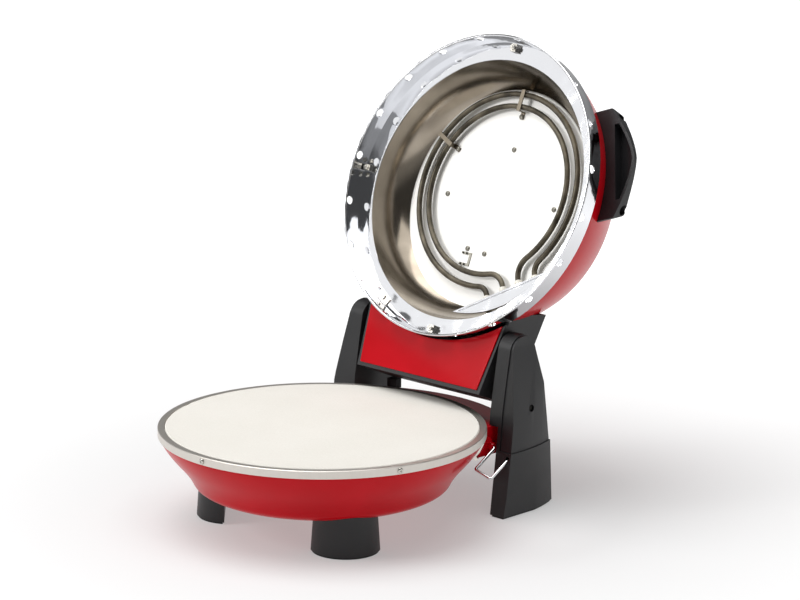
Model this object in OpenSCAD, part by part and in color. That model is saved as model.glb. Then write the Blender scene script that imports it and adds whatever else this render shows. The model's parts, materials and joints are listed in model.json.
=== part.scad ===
// Countertop pizza oven: a round pan with a baking stone, and a domed lid that tips back between two posts.
// Z is up and Z = 0 is the worktop. The user stands on the -Y side, and the lid's hinge lies along X.
// X = 0, Y = 0 is the middle of the footprint with the lid open, which is how the oven is drawn.

/* [Stone and rim] */
// Radius of the baking stone
stone_r = 155.8; // [140:0.1:170]
// Thickness of the baking stone
stone_t = 12; // [9:0.5:16]
// Gap round the stone
stone_gap = 0.6; // [0.4:0.1:1.2]
// Height of the rim over the worktop
rim_h = 100; // [92:1:120]
// Width of the rim's flat top
rim_w = 6.6; // [5.5:0.1:10]
// Height of the rim's outer band
rim_band = 8; // [7:0.5:14]
// Thickness of the stainless sheet
sheet = 1; // [0.8:0.1:1.4]
// Number of screws round the band
rim_screws_n = 5; // [3:1:8]

/* [Pan] */
// Depth of the pan below the rim
pan_depth = 63; // [60:1:70]
// Wall of the pan
pan_wall = 2; // [1.5:0.1:3]
// How far the pan's flat floor is inside the rim
floor_in = 46; // [44:0.5:52]
// Height of the turn in the pan's flank, down from the rim
waist_drop = 34.5; // [32:0.5:38]
// How far the turn is inside the rim
waist_in = 20; // [18:0.5:22]
// Thickness of the tail that joins the pan to the posts
tail_t = 29; // [24:1:34]
// Drop from the rim to the tail's top
tail_drop = 10; // [9.5:0.5:13]
// Half width of the tail between the posts
tail_half = 106.5; // [104:0.5:108]
// Half width of the tail in front of the posts
tail_front = 97.5; // [95:0.5:99]
// Reach of the tail behind the hinge
tail_reach = 30; // [28:0.5:34]
// Radius of the tail's round back
tail_round = 160; // [150:1:175]

/* [Lid] */
// Height of the lid's chrome skirt
skirt_h = 19.6; // [16:0.2:26]
// How much the skirt flares out
skirt_flare = 2.6; // [1:0.2:4]
// Distance from the stone's seat to the skirt's lip
lip_in = 2.2; // [1.6:0.1:3]
// Width of the polished ring inside the skirt
ring_w = 18.5; // [14:0.5:24]
// Depth of the inner bowl
bowl_depth = 39; // [36:0.5:44]
// How far the bowl's wall slopes in
bowl_slope = 22.5; // [18:0.5:24]
// Height of the dome's side
dome_h = 73; // [70:1:84]
// How far the dome's side slopes in
dome_slope = 33; // [28:1:40]
// Rise of the dome's crown over its side
crown_h = 11; // [9:1:18]
// Wall of the dome
dome_wall = 2; // [1.4:0.1:3]
// Number of round vents in the skirt
vents_n = 20; // [12:1:24]
// Radius of a vent
vent_r = 4.3; // [3:0.1:5]
// Turn of the vent ring from the lid's middle line
vent_turn = -3.5; // [-9:0.5:9]
// Gap between the closed lid's lip and the rim
lid_gap = 0.5; // [0.3:0.1:2]

/* [Heaters] */
// Radius of a heater's tube
tube_r = 2.9; // [2.6:0.1:4]
// Room between the bowl's wall and the lid's outer heater loop
loop_room = 12.3; // [12:0.1:16]
// Step from the lid's outer heater loop in to the inner one
loop_step = 13; // [12:0.5:18]
// Offset of the lid's heater loops towards the lid's front
loop_up = 8; // [4:0.5:9]
// Radius of the lower heater loop
lower_loop_r = 100; // [80:1:108]
// Height of the heaters over the plate behind them
heater_lift = 6; // [5:0.5:8]

/* [Hinge] */
// Distance from the rim to the hinge axis
hinge_gap = 8.2; // [7:0.2:12]
// Height of the hinge axis over the closed lid's ring
pivot_rise = 21.4; // [18:0.2:26]
// Angle that the lid opens
open_angle = 113.5; // [100:0.5:118]
// Radius of a hinge pin
pin_r = 6; // [5:0.1:7]
// Running clearance of a hinge pin
pin_fit = 0.05; // [0.02:0.01:0.1]
// Wall of a hinge bush
bush_wall = 2.5; // [1.5:0.1:4]

/* [Neck] */
// Half width of the neck at its rear end
neck_half = 85; // [78:0.5:86]
// Widening of the neck for each millimetre forward
neck_taper = 0.11; // [0.06:0.01:0.12]
// Reach of the neck behind the hinge
neck_reach = 32.5; // [28:0.5:34]
// Height of the neck's top over the lid's ring
neck_top = 50; // [46:1:54]
// Depth of the neck's red plate below the lid's ring
plate_drop = 4.5; // [3:0.5:7]
// Margin of black plastic round the red plate
plate_margin = 3.8; // [2:0.2:6]
// Wall of the neck
neck_wall = 3; // [2:0.2:4]

/* [Posts] */
// Inner face of a post's head
head_in = 95; // [94:0.5:97]
// Outer face of a post
post_out = 127; // [123:0.5:131]
// Plane between a post and its outer cover
cover_plane = 111; // [110:0.5:112]
// Height of the seam under the cover
seam_h = 67; // [66:1:80]
// Rise of a post's arched top over the hinge
arch_rise = 40.5; // [39:0.5:46]
// Radius of a post's arched top
arch_r = 18; // [17:0.5:19]
// Wall of a post
post_wall = 3.2; // [2.4:0.1:4]
// Rubber under the posts and feet
pad_t = 2; // [1.5:0.1:3]

/* [Feet] */
// Distance of a front foot from the middle plane
foot_x = 80.5; // [70:0.5:84]
// Distance of a front foot in front of the stone's axis
foot_y = 48.5; // [40:0.5:56]
// Radius of a foot at the worktop
foot_r = 34.5; // [28:0.5:36]
// Narrowing of a foot towards its top
foot_taper = 2.5; // [0:0.5:5]
// How far a foot's flat is outside its middle
foot_flat = 6; // [0:1:12]

/* [Handles] */
// Turn of a handle from the hinge's direction towards the front
handle_turn = 20.5; // [10:0.5:35]
// Half length of a handle
handle_half = 58; // [50:1:64]
// How far a handle stands out from the dome's lower edge
handle_out = 29.4; // [28:0.2:36]
// How far a handle's outer edge falls back towards its ends
handle_bow = 27; // [20:0.5:30]
// Height of a handle, along the lid's axis
handle_h = 24; // [21:1:28]
// Distance of a handle from the lid's ring
handle_up = 20; // [18:1:26]
// Gap between the dome's lower edge and the grip's hollow
grip_gap = 5.4; // [4:0.2:9]
// Half length of the finger gap
gap_half = 40; // [34:1:42]

/* [Latches] */
// Radius of the bail's wire
wire_r = 1.6; // [1.2:0.1:2]
// Length of the bail's arms
bail_arm = 32.5; // [28:0.5:34]
// Slope of the hanging bail's arms
bail_slope = 34; // [32:1:44]
// Tilt of the bail's axis down towards the post
bail_tilt = 22; // [18:1:24]
// Turn of the bail's axis back towards the post
bail_yaw = 12; // [8:1:14]

/* [Controls] */
// Radius of the thermostat knob
knob_r = 17; // [13:0.5:19]
// Height of the thermostat knob
knob_h = 15; // [11:0.5:18]
// Distance of the knob from the middle plane
knob_x = 34; // [28:1:38]
// Radius of a pilot lamp
lamp_r = 5; // [4:0.5:6]

/* [Hidden] */
$fn = 72;

// Radii that follow from the stone outwards
seat_r = stone_r + stone_gap;
rim_r = seat_r + rim_w;
pan_r = rim_r - sheet;
floor_r = rim_r - floor_in;
lip_r = seat_r + lip_in;
skirt_r = lip_r - skirt_flare;
ring_r = skirt_r - ring_w;
plate_r = ring_r - bowl_slope;
dome_r = skirt_r - 0.4;
dome_top_r = dome_r - dome_slope;
outer_loop_r = plate_r - loop_room;
inner_loop_r = outer_loop_r - loop_step;
handle_reach = dome_r + handle_out;
grip_in = dome_r + grip_gap;

// Heights over the worktop
stone_top = rim_h + 0.4;
stone_bottom = stone_top - stone_t;
floor_h = rim_h - pan_depth;
tail_top = rim_h - tail_drop;
tail_bottom = tail_top - tail_t;
tray_h = stone_bottom - 22;
closed_h = rim_h + lid_gap + skirt_h;
hinge_h = closed_h + pivot_rise;

// Distances behind the stone's axis
hinge_back = rim_r + hinge_gap;
tail_back = hinge_back + tail_reach;
neck_back = hinge_back + neck_reach;

// A point of the lid, v in front of the lid's axis and h towards the stone, where it lies with the lid open
function open_y(v, h) = hinge_back - (v + hinge_back) * cos(open_angle) + (pivot_rise_down(h)) * sin(open_angle);
function open_z(v, h) = hinge_h + (v + hinge_back) * sin(open_angle) + (pivot_rise_down(h)) * cos(open_angle);
function pivot_rise_down(h) = -h - pivot_rise;

// The footprint reaches from the rim's front to the open dome's edge
lid_back = open_y(dome_top_r - 5, -dome_h - 5.5);
stone_y = (rim_r - lid_back) / 2;

// Points along a smooth bend from a to c that leans towards b
function bend(a, b, c, n = 8) = [
    for (i = [0 : n])
        let (t = i / n) (1 - t) * (1 - t) * a + 2 * t * (1 - t) * b + t * t * c
];

// The same bend without its first point, for going on from another bend
function bend_on(a, b, c, n = 8) = let (p = bend(a, b, c, n)) [for (i = [1 : n]) p[i]];

// Moves what is drawn round the stone's axis to its place on the worktop
module on_stand() {
    translate([0, stone_y, 0]) children();
}

// Moves what is drawn in the lid's own frame to the open lid: Y to the lid's front, Z towards the stone
module in_lid() {
    translate([0, stone_y + hinge_back, hinge_h])
        rotate([-open_angle, 0, 0])
            translate([0, -hinge_back, closed_h - hinge_h])
                rotate([180, 0, 0])
                    children();
}

// A cylinder along X between two places
module rod_x(x1, x2, r, y = 0, z = 0) {
    translate([x1, y, z]) rotate([0, 90, 0]) cylinder(r = r, h = x2 - x1);
}

// Draws its child on the left and on the right
module both_sides() {
    children();
    mirror([1, 0, 0]) children();
}

// A pan-head screw along Z, with its head's underside at Z = 0 and a cross recess
module screw(r, length, head_r, head_h) {
    difference() {
        union() {
            translate([0, 0, -length]) cylinder(r = r, h = length);
            cylinder(r = head_r, h = head_h * 0.6);
            translate([0, 0, head_h * 0.6]) cylinder(r1 = head_r, r2 = head_r * 0.7, h = head_h * 0.4);
        }
        for (a = [0, 90])
            rotate([0, 0, a])
                translate([-head_r * 0.6, -head_r * 0.11, head_h * 0.45])
                    cube([head_r * 1.2, head_r * 0.22, head_h]);
    }
}

// Pan

// Outline of the pan's flank from the rim down to the floor, moved in by a wall
function pan_flank(in) = concat(
    [[pan_r - in, rim_h - sheet]],
    bend([pan_r - in, rim_h - rim_band], [rim_r - 6.2 - in, rim_h - pan_depth * 0.31],
         [rim_r - waist_in - in, rim_h - waist_drop]),
    bend_on([rim_r - waist_in - in, rim_h - waist_drop], [rim_r - floor_in * 0.659 - in, rim_h - pan_depth * 0.725],
         [rim_r - floor_in * 0.75 - in, rim_h - pan_depth * 0.873]),
    bend_on([rim_r - floor_in * 0.75 - in, rim_h - pan_depth * 0.873], [rim_r - floor_in * 0.798 - in, rim_h - pan_depth * 0.944],
         [floor_r + 2 - in, floor_h + 0.8 + in * 0.8], 5),
    [[floor_r - in, floor_h + in]]
);

module pan_solid(in) {
    rotate_extrude() polygon(concat([[0, rim_h - sheet]], pan_flank(in), [[0, floor_h + in]]));
}

// The tail behind the pan, which reaches between the posts
module tail_solid(in) {
    translate([0, 0, tail_bottom + in])
        linear_extrude(tail_t - 2 * in)
            intersection() {
                translate([0, tail_back - tail_round]) circle(r = tail_round - in);
                union() {
                    translate([-tail_half + in, tail_step + in]) square([2 * (tail_half - in), tail_back]);
                    translate([-tail_front + in, 60]) square([2 * (tail_front - in), tail_back]);
                }
            }
}

bolt_y = hinge_back - 16;
bolt_z = [tail_top - tail_t / 2 - 7.5, tail_top - tail_t / 2 + 7.5];
bolt_r = 2.5;
loom_r = 2.4;
loom_y = bolt_y;
loom_z = tail_top - tail_t / 2;
gland_x = -46;
gland_z = tail_top - tail_t / 2;
foot_screw_r = 2;

module rim_screw_places() {
    for (i = [0 : rim_screws_n - 1])
        rotate([0, 0, -90 + i * 360 / rim_screws_n])
            translate([rim_r, 0, rim_h - rim_band * 0.55])
                rotate([0, 90, 0])
                    children();
}

module foot_screw_places() {
    both_sides()
        translate([foot_x, -foot_y, 0])
            rotate([0, 0, -45])
                for (t = [-12, 12])
                    translate([foot_r * 0.6, t, 0]) children();
}

// Steel pan with its tail, drawn in one piece
module pan() {
    color("#c01523")
        on_stand()
            difference() {
                union() {
                    pan_solid(0);
                    tail_solid(0);
                }
                pan_solid(pan_wall);
                tail_solid(pan_wall);
                rim_screw_places() translate([0, 0, -8]) cylinder(r = 1.6, h = 9);
                both_sides()
                    for (z = bolt_z)
                        rod_x(tail_half - 4, tail_half + 1, bolt_r, bolt_y, z);
                rod_x(tail_half - 4, tail_half + 1, loom_r, loom_y, loom_z);
                translate([gland_x, hinge_back, gland_z]) rotate([-90, 0, 0]) cylinder(r = 6, h = 60);
                foot_screw_places() translate([0, 0, floor_h - 1]) cylinder(r = foot_screw_r, h = 5);
                for (a = [0 : 30 : 330])
                    rotate([0, 0, a])
                        translate([22, -2, floor_h - 1])
                            cube([26, 4, 5]);
            }
}

// Stainless channel that caps the pan and holds the stone in place
module rim_ring() {
    color("#c9c8c4")
        on_stand()
            difference() {
                rotate_extrude()
                    polygon([
                        [seat_r, stone_bottom], [seat_r + sheet, stone_bottom], [seat_r + sheet, rim_h - sheet],
                        [pan_r, rim_h - sheet], [pan_r, rim_h - rim_band], [rim_r, rim_h - rim_band],
                        [rim_r, rim_h - 0.6], [rim_r - 0.6, rim_h], [seat_r, rim_h]
                    ]);
                rim_screw_places() translate([0, 0, -3]) cylinder(r = 1.6, h = 5);
            }
}

module rim_screws() {
    color("#b9b9b9")
        on_stand()
            rim_screw_places() screw(1.6, 5.2, 2.9, 1.6);
}

// Baking stone, loose in its seat, with a notch to prise it up
module stone() {
    color("#f1eee6")
        on_stand()
            difference() {
                rotate_extrude()
                    polygon([
                        [0, stone_bottom], [stone_r - 1, stone_bottom], [stone_r, stone_bottom + 1],
                        [stone_r, stone_top - 1], [stone_r - 1, stone_top], [0, stone_top]
                    ]);
                rotate([0, 0, 197])
                    translate([stone_r - 1.6, -5, stone_top - 5])
                        cube([4, 10, 8]);
            }
}

// Aluminised dish under the stone, which throws the lower heater's heat up
module stone_tray() {
    tray_r = seat_r - 28;
    color("#a9a9a6")
        on_stand()
            difference() {
                rotate_extrude()
                    polygon([
                        [0, tray_h - sheet], [tray_r, tray_h - sheet], [tray_r + 12, stone_bottom - sheet],
                        [seat_r + sheet, stone_bottom - sheet], [seat_r + sheet, stone_bottom],
                        [tray_r + 11, stone_bottom], [tray_r - 1, tray_h], [0, tray_h]
                    ]);
                on_lower_heater() loop_tails(lower_loop_r, inner_bend_r, lower_gap, tube_r + 2.5, 40);
            }
}

// Mineral wool on the pan's floor
module base_insulation() {
    color("#d8d2bd")
        on_stand()
            translate([0, 0, floor_h + pan_wall])
                difference() {
                    cylinder(r = floor_r - 6, h = 12);
                    for (a = [0 : 90 : 270])
                        rotate([0, 0, a + 45]) translate([foot_y + 12, 0, -1]) cylinder(r = 14, h = 14);
                }
}

// Heaters

inner_bend_r = 20;
outer_bend_r = 14;
inner_gap = 10;
outer_gap = 31;
lower_gap = 20;

// Angle at which a loop leaves its circle so that its tails lie gap apart from the middle line
function leave(r, rb, gap) = asin((gap + rb) / (r + rb));
function bend_end(r, rb, gap) = (r + rb) * cos(leave(r, rb, gap));

// Straight ends of a heater loop along +X
module loop_tails(r, rb, gap, tr, tail) {
    for (s = [-1, 1])
        translate([bend_end(r, rb, gap), s * gap, 0])
            rotate([0, 90, 0])
                cylinder(r = tr, h = tail);
}

// A heater tube: most of a circle, two bends the other way, and two straight ends along +X.
// The bends reach a little into the other pieces and are a touch thinner there.
module heater_loop(r, rb, gap, tail) {
    a = leave(r, rb, gap);
    lap = 2;
    rotate([0, 0, a])
        rotate_extrude(angle = 360 - 2 * a)
            translate([r, 0]) circle(r = tube_r);
    for (s = [-1, 1])
        translate([(r + rb) * cos(a), s * (r + rb) * sin(a), 0])
            rotate([0, 0, s > 0 ? 180 + a - lap : 90 - lap])
                rotate_extrude(angle = 90 - a + 2 * lap)
                    translate([rb, 0]) circle(r = tube_r - 0.05);
    loop_tails(r, rb, gap, tube_r, tail);
}

module bushings(r, rb, gap, from, length, wall = 2.2) {
    for (s = [-1, 1])
        translate([from, s * gap, 0])
            rotate([0, 90, 0])
                difference() {
                    cylinder(r = tube_r + wall, h = length);
                    translate([0, 0, -1]) cylinder(r = tube_r, h = length + 2);
                }
}

// A strap round a tube, with a leg down to the plate that the tube stands over
module tube_clip(lift) {
    difference() {
        union() {
            rotate([90, 0, 0]) translate([0, 0, -3]) cylinder(r = tube_r + 1.1, h = 6);
            translate([-tube_r - 1.1, -3, -lift]) cube([1.2, 6, lift]);
        }
        rotate([90, 0, 0]) translate([0, 0, -4]) cylinder(r = tube_r + 0.15, h = 8);
    }
}

module on_lower_heater() {
    translate([0, 0, tray_h + heater_lift]) rotate([0, 0, 90]) children();
}

module lower_heater() {
    color("#4a4740")
        on_stand()
            on_lower_heater()
                heater_loop(lower_loop_r, inner_bend_r, lower_gap, 42);
}

module lower_clips() {
    color("#b5b5b2")
        on_stand()
            on_lower_heater()
                for (a = [75, 180, 285])
                    rotate([0, 0, a])
                        translate([lower_loop_r, 0, 0])
                            tube_clip(heater_lift);
}

module lower_bushings() {
    color("#ebe8e0")
        on_stand()
            on_lower_heater()
                bushings(lower_loop_r, inner_bend_r, lower_gap, bend_end(lower_loop_r, inner_bend_r, lower_gap) + 18, 10);
}

// Thermal cut-out under the tray
module lower_cutout() {
    color("#c9c8c4")
        on_stand()
            translate([30, 60, tray_h - sheet - 8]) {
                cylinder(r = 9, h = 8);
                translate([-14, -3, 6.5]) cube([28, 6, 1.5]);
            }
}

// Ceramic terminal block in the tail
module base_terminals() {
    color("#ebe8e0")
        on_stand()
            translate([24, hinge_back - 6, tail_bottom + pan_wall])
                difference() {
                    cube([44, 16, 13]);
                    for (i = [0 : 3])
                        translate([6 + i * 10.5, 8, 4]) cylinder(r = 2.4, h = 12);
                }
}

// Lead from the base to the lid, which crosses the hinge along its axis
module wire_loom() {
    low = [tail_half + 9.7, loom_y, loom_z];
    high = [tail_half + 6, hinge_back, hinge_h];
    run = high - low;
    color("#2a2a2c")
        on_stand() {
            rod_x(66, low[0], loom_r, loom_y, loom_z);
            translate([66, loom_y, loom_z]) sphere(r = loom_r);
            translate([66, loom_y, loom_z]) rotate([-90, 0, 0]) cylinder(r = loom_r, h = 9.6);
            translate(low) sphere(r = loom_r + 0.05);
            translate(low)
                rotate([0, acos(run[2] / norm(run)), atan2(run[1], run[0])])
                    cylinder(r = loom_r - 0.1, h = norm(run));
            translate(high) sphere(r = loom_r + 0.05);
            rod_x(64, high[0], loom_r, hinge_back, hinge_h);
        }
}

// Gland in the tail's back for the mains lead
module cord_gland() {
    y = tail_back - tail_round + sqrt(pow(tail_round, 2) - pow(gland_x, 2));
    color("#26262a")
        on_stand()
            difference() {
                union() {
                    translate([gland_x, y, gland_z])
                        rotate([-90, 0, 0])
                            translate([0, 0, -8]) cylinder(r = 6, h = 14);
                    difference() {
                        translate([gland_x, y, gland_z])
                            rotate([-90, 0, 0])
                                translate([0, 0, -4]) cylinder(r1 = 10.4, r2 = 7.4, h = 10.6);
                        tail_solid(0);
                    }
                }
                translate([gland_x, y, gland_z]) rotate([-90, 0, 0]) translate([0, 0, -9]) cylinder(r = 3.6, h = 20);
            }
}

// Feet

// A foot's body, half round outside and flat on its hidden side, from the worktop to a height
module foot_solid(in, z1, z2) {
    taper = foot_taper / floor_h;
    difference() {
        translate([0, 0, z1])
            cylinder(r1 = foot_r - in - taper * z1, r2 = foot_r - in - taper * z2, h = z2 - z1);
        translate([-2 * foot_r, -2 * foot_r, z1 - 1])
            cube([2 * foot_r + foot_flat + in, 4 * foot_r, z2 - z1 + 2]);
    }
}

module foot_right_solid() {
    difference() {
        translate([foot_x, -foot_y, 0])
            rotate([0, 0, -45])
                difference() {
                    foot_solid(0, pad_t, floor_h + 9);
                    difference() {
                        foot_solid(3, pad_t + 3, floor_h - 4);
                        for (t = [-12, 12])
                            translate([foot_r * 0.6, t, 0]) cylinder(r = 5.5, h = floor_h);
                    }
                    for (t = [-12, 12]) {
                        translate([foot_r * 0.6, t, pad_t - 1]) cylinder(r = 4, h = floor_h - 8);
                        translate([foot_r * 0.6, t, pad_t]) cylinder(r = foot_screw_r, h = floor_h + 8);
                    }
                }
        pan_solid(0);
    }
}

module foot_right() {
    color("#2b2b2d") on_stand() foot_right_solid();
}

module foot_left() {
    color("#2b2b2d") on_stand() mirror([1, 0, 0]) foot_right_solid();
}

module foot_screws() {
    color("#b9b9b9")
        on_stand()
            foot_screw_places()
                translate([0, 0, floor_h - 9 + pad_t]) rotate([180, 0, 0]) screw(foot_screw_r, 8.6, 3.8, 2.4);
}

// Posts

// Places of the post's outline, as distances behind the stone's axis and heights over the worktop
front_foot = hinge_back - 40;
front_seam = hinge_back - 32;
front_hip = hinge_back - 28.5;
back_foot = hinge_back + 45;
back_seam = hinge_back + 38;
back_hip = hinge_back + 29;
arch_y = hinge_back - 0.7;
arch_z = hinge_h + arch_rise - arch_r;

// Side view of a post in Y and Z, moved in by a margin
module post_side(in) {
    polygon(concat(
        [[back_foot - in, 0], [back_seam - in, seam_h], [back_hip - in, rim_h + 9]],
        [for (a = [2 : 11 : 178]) [arch_y + (arch_r - in) * cos(a), arch_z + (arch_r - in) * sin(a)]],
        [[arch_y - arch_r + in - 4.4, hinge_h - 1.5], [front_hip + in, rim_h + 6], [front_seam + in, seam_h], [front_foot + in, 0]]
    ));
}

// Front view of a post as points in X and Z, moved in from outside by a margin
module post_front(in) {
    polygon([
        [tail_half, 0], [post_out - 2.5 - in, 0], [post_out - in, 30], [post_out - in, rim_h - 4],
        [post_out - 12 - in, hinge_h + 30], [post_out - 13 - in, hinge_h + 60], [head_in, hinge_h + 60],
        [head_in, tail_top + 1], [tail_half, tail_top + 1]
    ]);
}

// A right-hand post from z1 up, solid
module post_solid(in) {
    round_r = 180;
    intersection() {
        rotate([90, 0, 90]) linear_extrude(post_out + 5) post_side(in);
        translate([0, back_foot + 5, 0]) rotate([90, 0, 0]) linear_extrude(90) post_front(in);
        translate([post_out - round_r, hinge_back - 21, -1]) cylinder(r = round_r - in, h = hinge_h + 80);
    }
}

screw_y = hinge_back + 1;
screw_z = rim_h + 8;
cover_head = post_out - post_wall - 2.6;
boss_r = 13;
bush_r = pin_r + bush_wall;
bush_end = cover_plane - 4;
// The bail turns about a line that starts at its lug on the tail and slopes down into the post
bail_x = tail_front + 1.5;
bail_y = hinge_back - 31;
bail_z = seam_h + 3.5;
bail_gap = 0.4;
lug_end = 2.6;
bail_in = lug_end + bail_gap + wire_r;
bail_out = bail_in + 19.4;
bail_end = bail_out + 5;
tail_step = hinge_back - 21.5;

module on_bail() {
    translate([bail_x, bail_y, bail_z]) rotate([0, bail_tilt, bail_yaw]) children();
}

// Right-hand post: foot and inner half, hollow behind the cover
module post_right_solid() {
    difference() {
        post_solid(0);
        // room for the rubber pad
        translate([0, 0, -1]) cube([200, 300, pad_t + 1]);
        // what the cover fills
        translate([cover_plane, 0, seam_h]) cube([60, 300, 300]);
        // hollow behind the cover, round the hinge boss and the screw boss
        difference() {
            intersection() {
                post_solid(post_wall);
                translate([0, 0, tail_bottom - 12]) cube([200, 300, 300]);
                union() {
                    translate([head_in + post_wall, 0, tail_top + 1 + post_wall]) cube([60, 300, 300]);
                    translate([tail_half + post_wall, 0, 0]) cube([60, 300, 300]);
                }
            }
            rod_x(0, bush_end, boss_r, hinge_back, hinge_h);
            rod_x(0, cover_plane, 5, screw_y, screw_z);
        }
        rod_x(0, cover_plane + 1, bush_r, hinge_back, hinge_h);
        rod_x(cover_plane - 10, cover_plane + 1, 1.6, screw_y, screw_z);
        for (z = bolt_z)
            rod_x(tail_half - 1, tail_half + post_wall + 1, bolt_r, bolt_y, z);
        rod_x(tail_half - 1, tail_half + post_wall + 1, loom_r, loom_y, loom_z);
        // slot and hole for the bail's outer end
        on_bail() {
            translate([bail_out - wire_r - bail_gap, -20, -7])
                cube([2 * (wire_r + bail_gap), 20 + wire_r + 0.6, 7 + wire_r + 0.6]);
            rod_x(bail_out, bail_end + 0.5, wire_r + 0.35);
        }
    }
}

module post_right() {
    color("#2b2b2d") on_stand() post_right_solid();
}

module post_left() {
    color("#2b2b2d") on_stand() mirror([1, 0, 0]) post_right_solid();
}

// Outer cover of the right-hand post
module cover_right_solid() {
    difference() {
        intersection() {
            post_solid(1.2);
            translate([cover_plane, 0, seam_h]) cube([60, 300, 300]);
        }
        intersection() {
            post_solid(1.2 + post_wall);
            translate([cover_plane - 1, 0, seam_h + post_wall]) cube([60, 300, 300]);
        }
        rod_x(cover_plane - 1, post_out + 1, 2.1, screw_y, screw_z);
        rod_x(cover_head, post_out + 1, 3.6, screw_y, screw_z);
        // room for the bolts' heads
        for (z = bolt_z)
            rod_x(cover_plane - 1, tail_half + post_wall + 3.7, 5.4, bolt_y, z);
    }
}

module cover_right() {
    color("#303032") on_stand() cover_right_solid();
}

module cover_left() {
    color("#303032") on_stand() mirror([1, 0, 0]) cover_right_solid();
}

module cover_screws() {
    color("#3a3a3c")
        on_stand()
            both_sides()
                translate([cover_head, screw_y, screw_z])
                    rotate([0, 90, 0])
                        screw(1.6, cover_head - cover_plane + 9, 3, 1.6);
}

module post_bolts() {
    color("#b9b9b9")
        on_stand()
            both_sides()
                for (z = bolt_z)
                    translate([tail_half + post_wall, bolt_y, z])
                        rotate([0, 90, 0]) {
                            translate([0, 0, -post_wall - 9]) cylinder(r = bolt_r, h = post_wall + 9);
                            cylinder(r = 4.6, h = 3.2, $fn = 6);
                        }
}

// Flanged bronze bush in a post's head
module bush_solid() {
    flange = 1.4;
    difference() {
        union() {
            rod_x(head_in, bush_end, bush_r, hinge_back, hinge_h);
            rod_x(head_in - flange, head_in, bush_r + 3, hinge_back, hinge_h);
        }
        rod_x(head_in - flange - 1, bush_end + 1, pin_r + pin_fit, hinge_back, hinge_h);
    }
}

module bush_right() {
    color("#b08d57") on_stand() bush_solid();
}

module bush_left() {
    color("#b08d57") on_stand() mirror([1, 0, 0]) bush_solid();
}

// Rubber soles under the feet and the posts
module rubber_pads() {
    color("#1c1c1e")
        on_stand()
            both_sides() {
                translate([foot_x, -foot_y, 0]) rotate([0, 0, -45]) foot_solid(1.5, 0, pad_t);
                intersection() {
                    post_solid(1.5);
                    translate([tail_half + 1.5, 0, 0]) cube([60, 300, pad_t]);
                }
            }
}

// Rubber blocks on the tail that the neck's end comes down on when the lid is open
module stop_bumpers() {
    gap = 0.4;
    low_z = open_z(-neck_back, -neck_top);
    low_y = open_y(-neck_back, -neck_top);
    color("#1c1c1e")
        on_stand()
            both_sides()
                translate([70, low_y - 7, tail_top])
                    cube([12, 9, low_z - gap - tail_top]);
}

// Bail latches

keeper_turn = 42;

// Red hook on the pan's flank, over which the bail swings
module latch_keepers() {
    color("#c01523")
        on_stand()
            both_sides()
                difference() {
                    rotate([0, 0, keeper_turn])
                        difference() {
                            translate([0, 8, 0])
                                rotate([90, 0, 0])
                                    linear_extrude(16)
                                        polygon([
                                            [rim_r - 26, rim_h - 38], [rim_r - 5, rim_h - 12],
                                            [rim_r - 2.6, rim_h - 14.5], [rim_r - 7, rim_h - 24],
                                            [rim_r - 10.5, rim_h - 28], [rim_r - 8, rim_h - 30.5],
                                            [rim_r - 9.5, rim_h - 32.5], [rim_r - 15, rim_h - 31]
                                        ]);
                            translate([rim_r - 25, -3.5, rim_h - 25]) cube([30, 7, 7]);
                        }
                    pan_solid(-0.2);
                    tail_solid(-0.2);
                }
}

// Red lug on the tail for the bail's inner end, and a nub above it
module latch_sockets() {
    color("#c01523")
        on_stand()
            both_sides()
                difference() {
                    union() {
                        on_bail() rod_x(-4, lug_end, 4);
                        rod_x(tail_front - 1, tail_front + 4, 3.4, bail_y - 5.5, bail_z + 7);
                    }
                    on_bail() rod_x(0, lug_end + 1, wire_r + 0.35);
                    translate([0, 0, tail_bottom]) cube([tail_front, 200, tail_t]);
                }
}

// Bent wire: two ends along the axis, two arms and a crossbar, all in one plane
module bail_solid() {
    on_bail()
        rotate([bail_slope, 0, 0]) {
            rod_x(0.5, bail_in, wire_r);
            rod_x(bail_out, bail_end, wire_r);
            rod_x(bail_in, bail_out, wire_r, -bail_arm, 0);
            for (x = [bail_in, bail_out]) {
                translate([x, 0, 0]) sphere(r = wire_r);
                translate([x, 0, 0]) rotate([90, 0, 0]) cylinder(r = wire_r, h = bail_arm);
                translate([x, -bail_arm, 0]) sphere(r = wire_r);
            }
        }
}

module bail_right() {
    color("#d9dbde") on_stand() bail_solid();
}

module bail_left() {
    color("#d9dbde") on_stand() mirror([1, 0, 0]) bail_solid();
}

// Lid. Its own frame has Z = 0 at the polished ring, Z towards the stone and Y to the front.

// Outline of the dome from its lower edge to the crown, moved in by a wall
function dome_line(in) = concat(
    bend([dome_r - in, 0], [dome_r - dome_slope * 0.26 - in, -dome_h * 0.47], [dome_top_r - in * 0.8, -dome_h + in * 0.5], 12),
    bend_on([dome_top_r - in * 0.8, -dome_h + in * 0.5], [dome_top_r - 3 - in * 0.6, -dome_h - 6 + in],
            [dome_top_r - 13, -dome_h - 7.5 + in], 6),
    bend([dome_top_r * 0.7, -dome_h - crown_h + 1 + in], [dome_top_r * 0.4, -dome_h - crown_h + in],
         [0, -dome_h - crown_h + in], 4)
);

module dome_solid(in) {
    rotate_extrude() polygon(concat([[0, 0]], dome_line(in)));
}

// Red outer dome
module dome() {
    color("#c01523")
        in_lid()
            difference() {
                translate([0, 0, -sheet]) dome_solid(0);
                translate([0, 0, -sheet + 0.01]) dome_solid(dome_wall);
                // opening at the back, into the neck
                translate([-60, -skirt_r, -52]) cube([120, 60, 40]);
                handle_screw_places() translate([0, 0, -8]) cylinder(r = 2, h = 16);
            }
}

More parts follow.
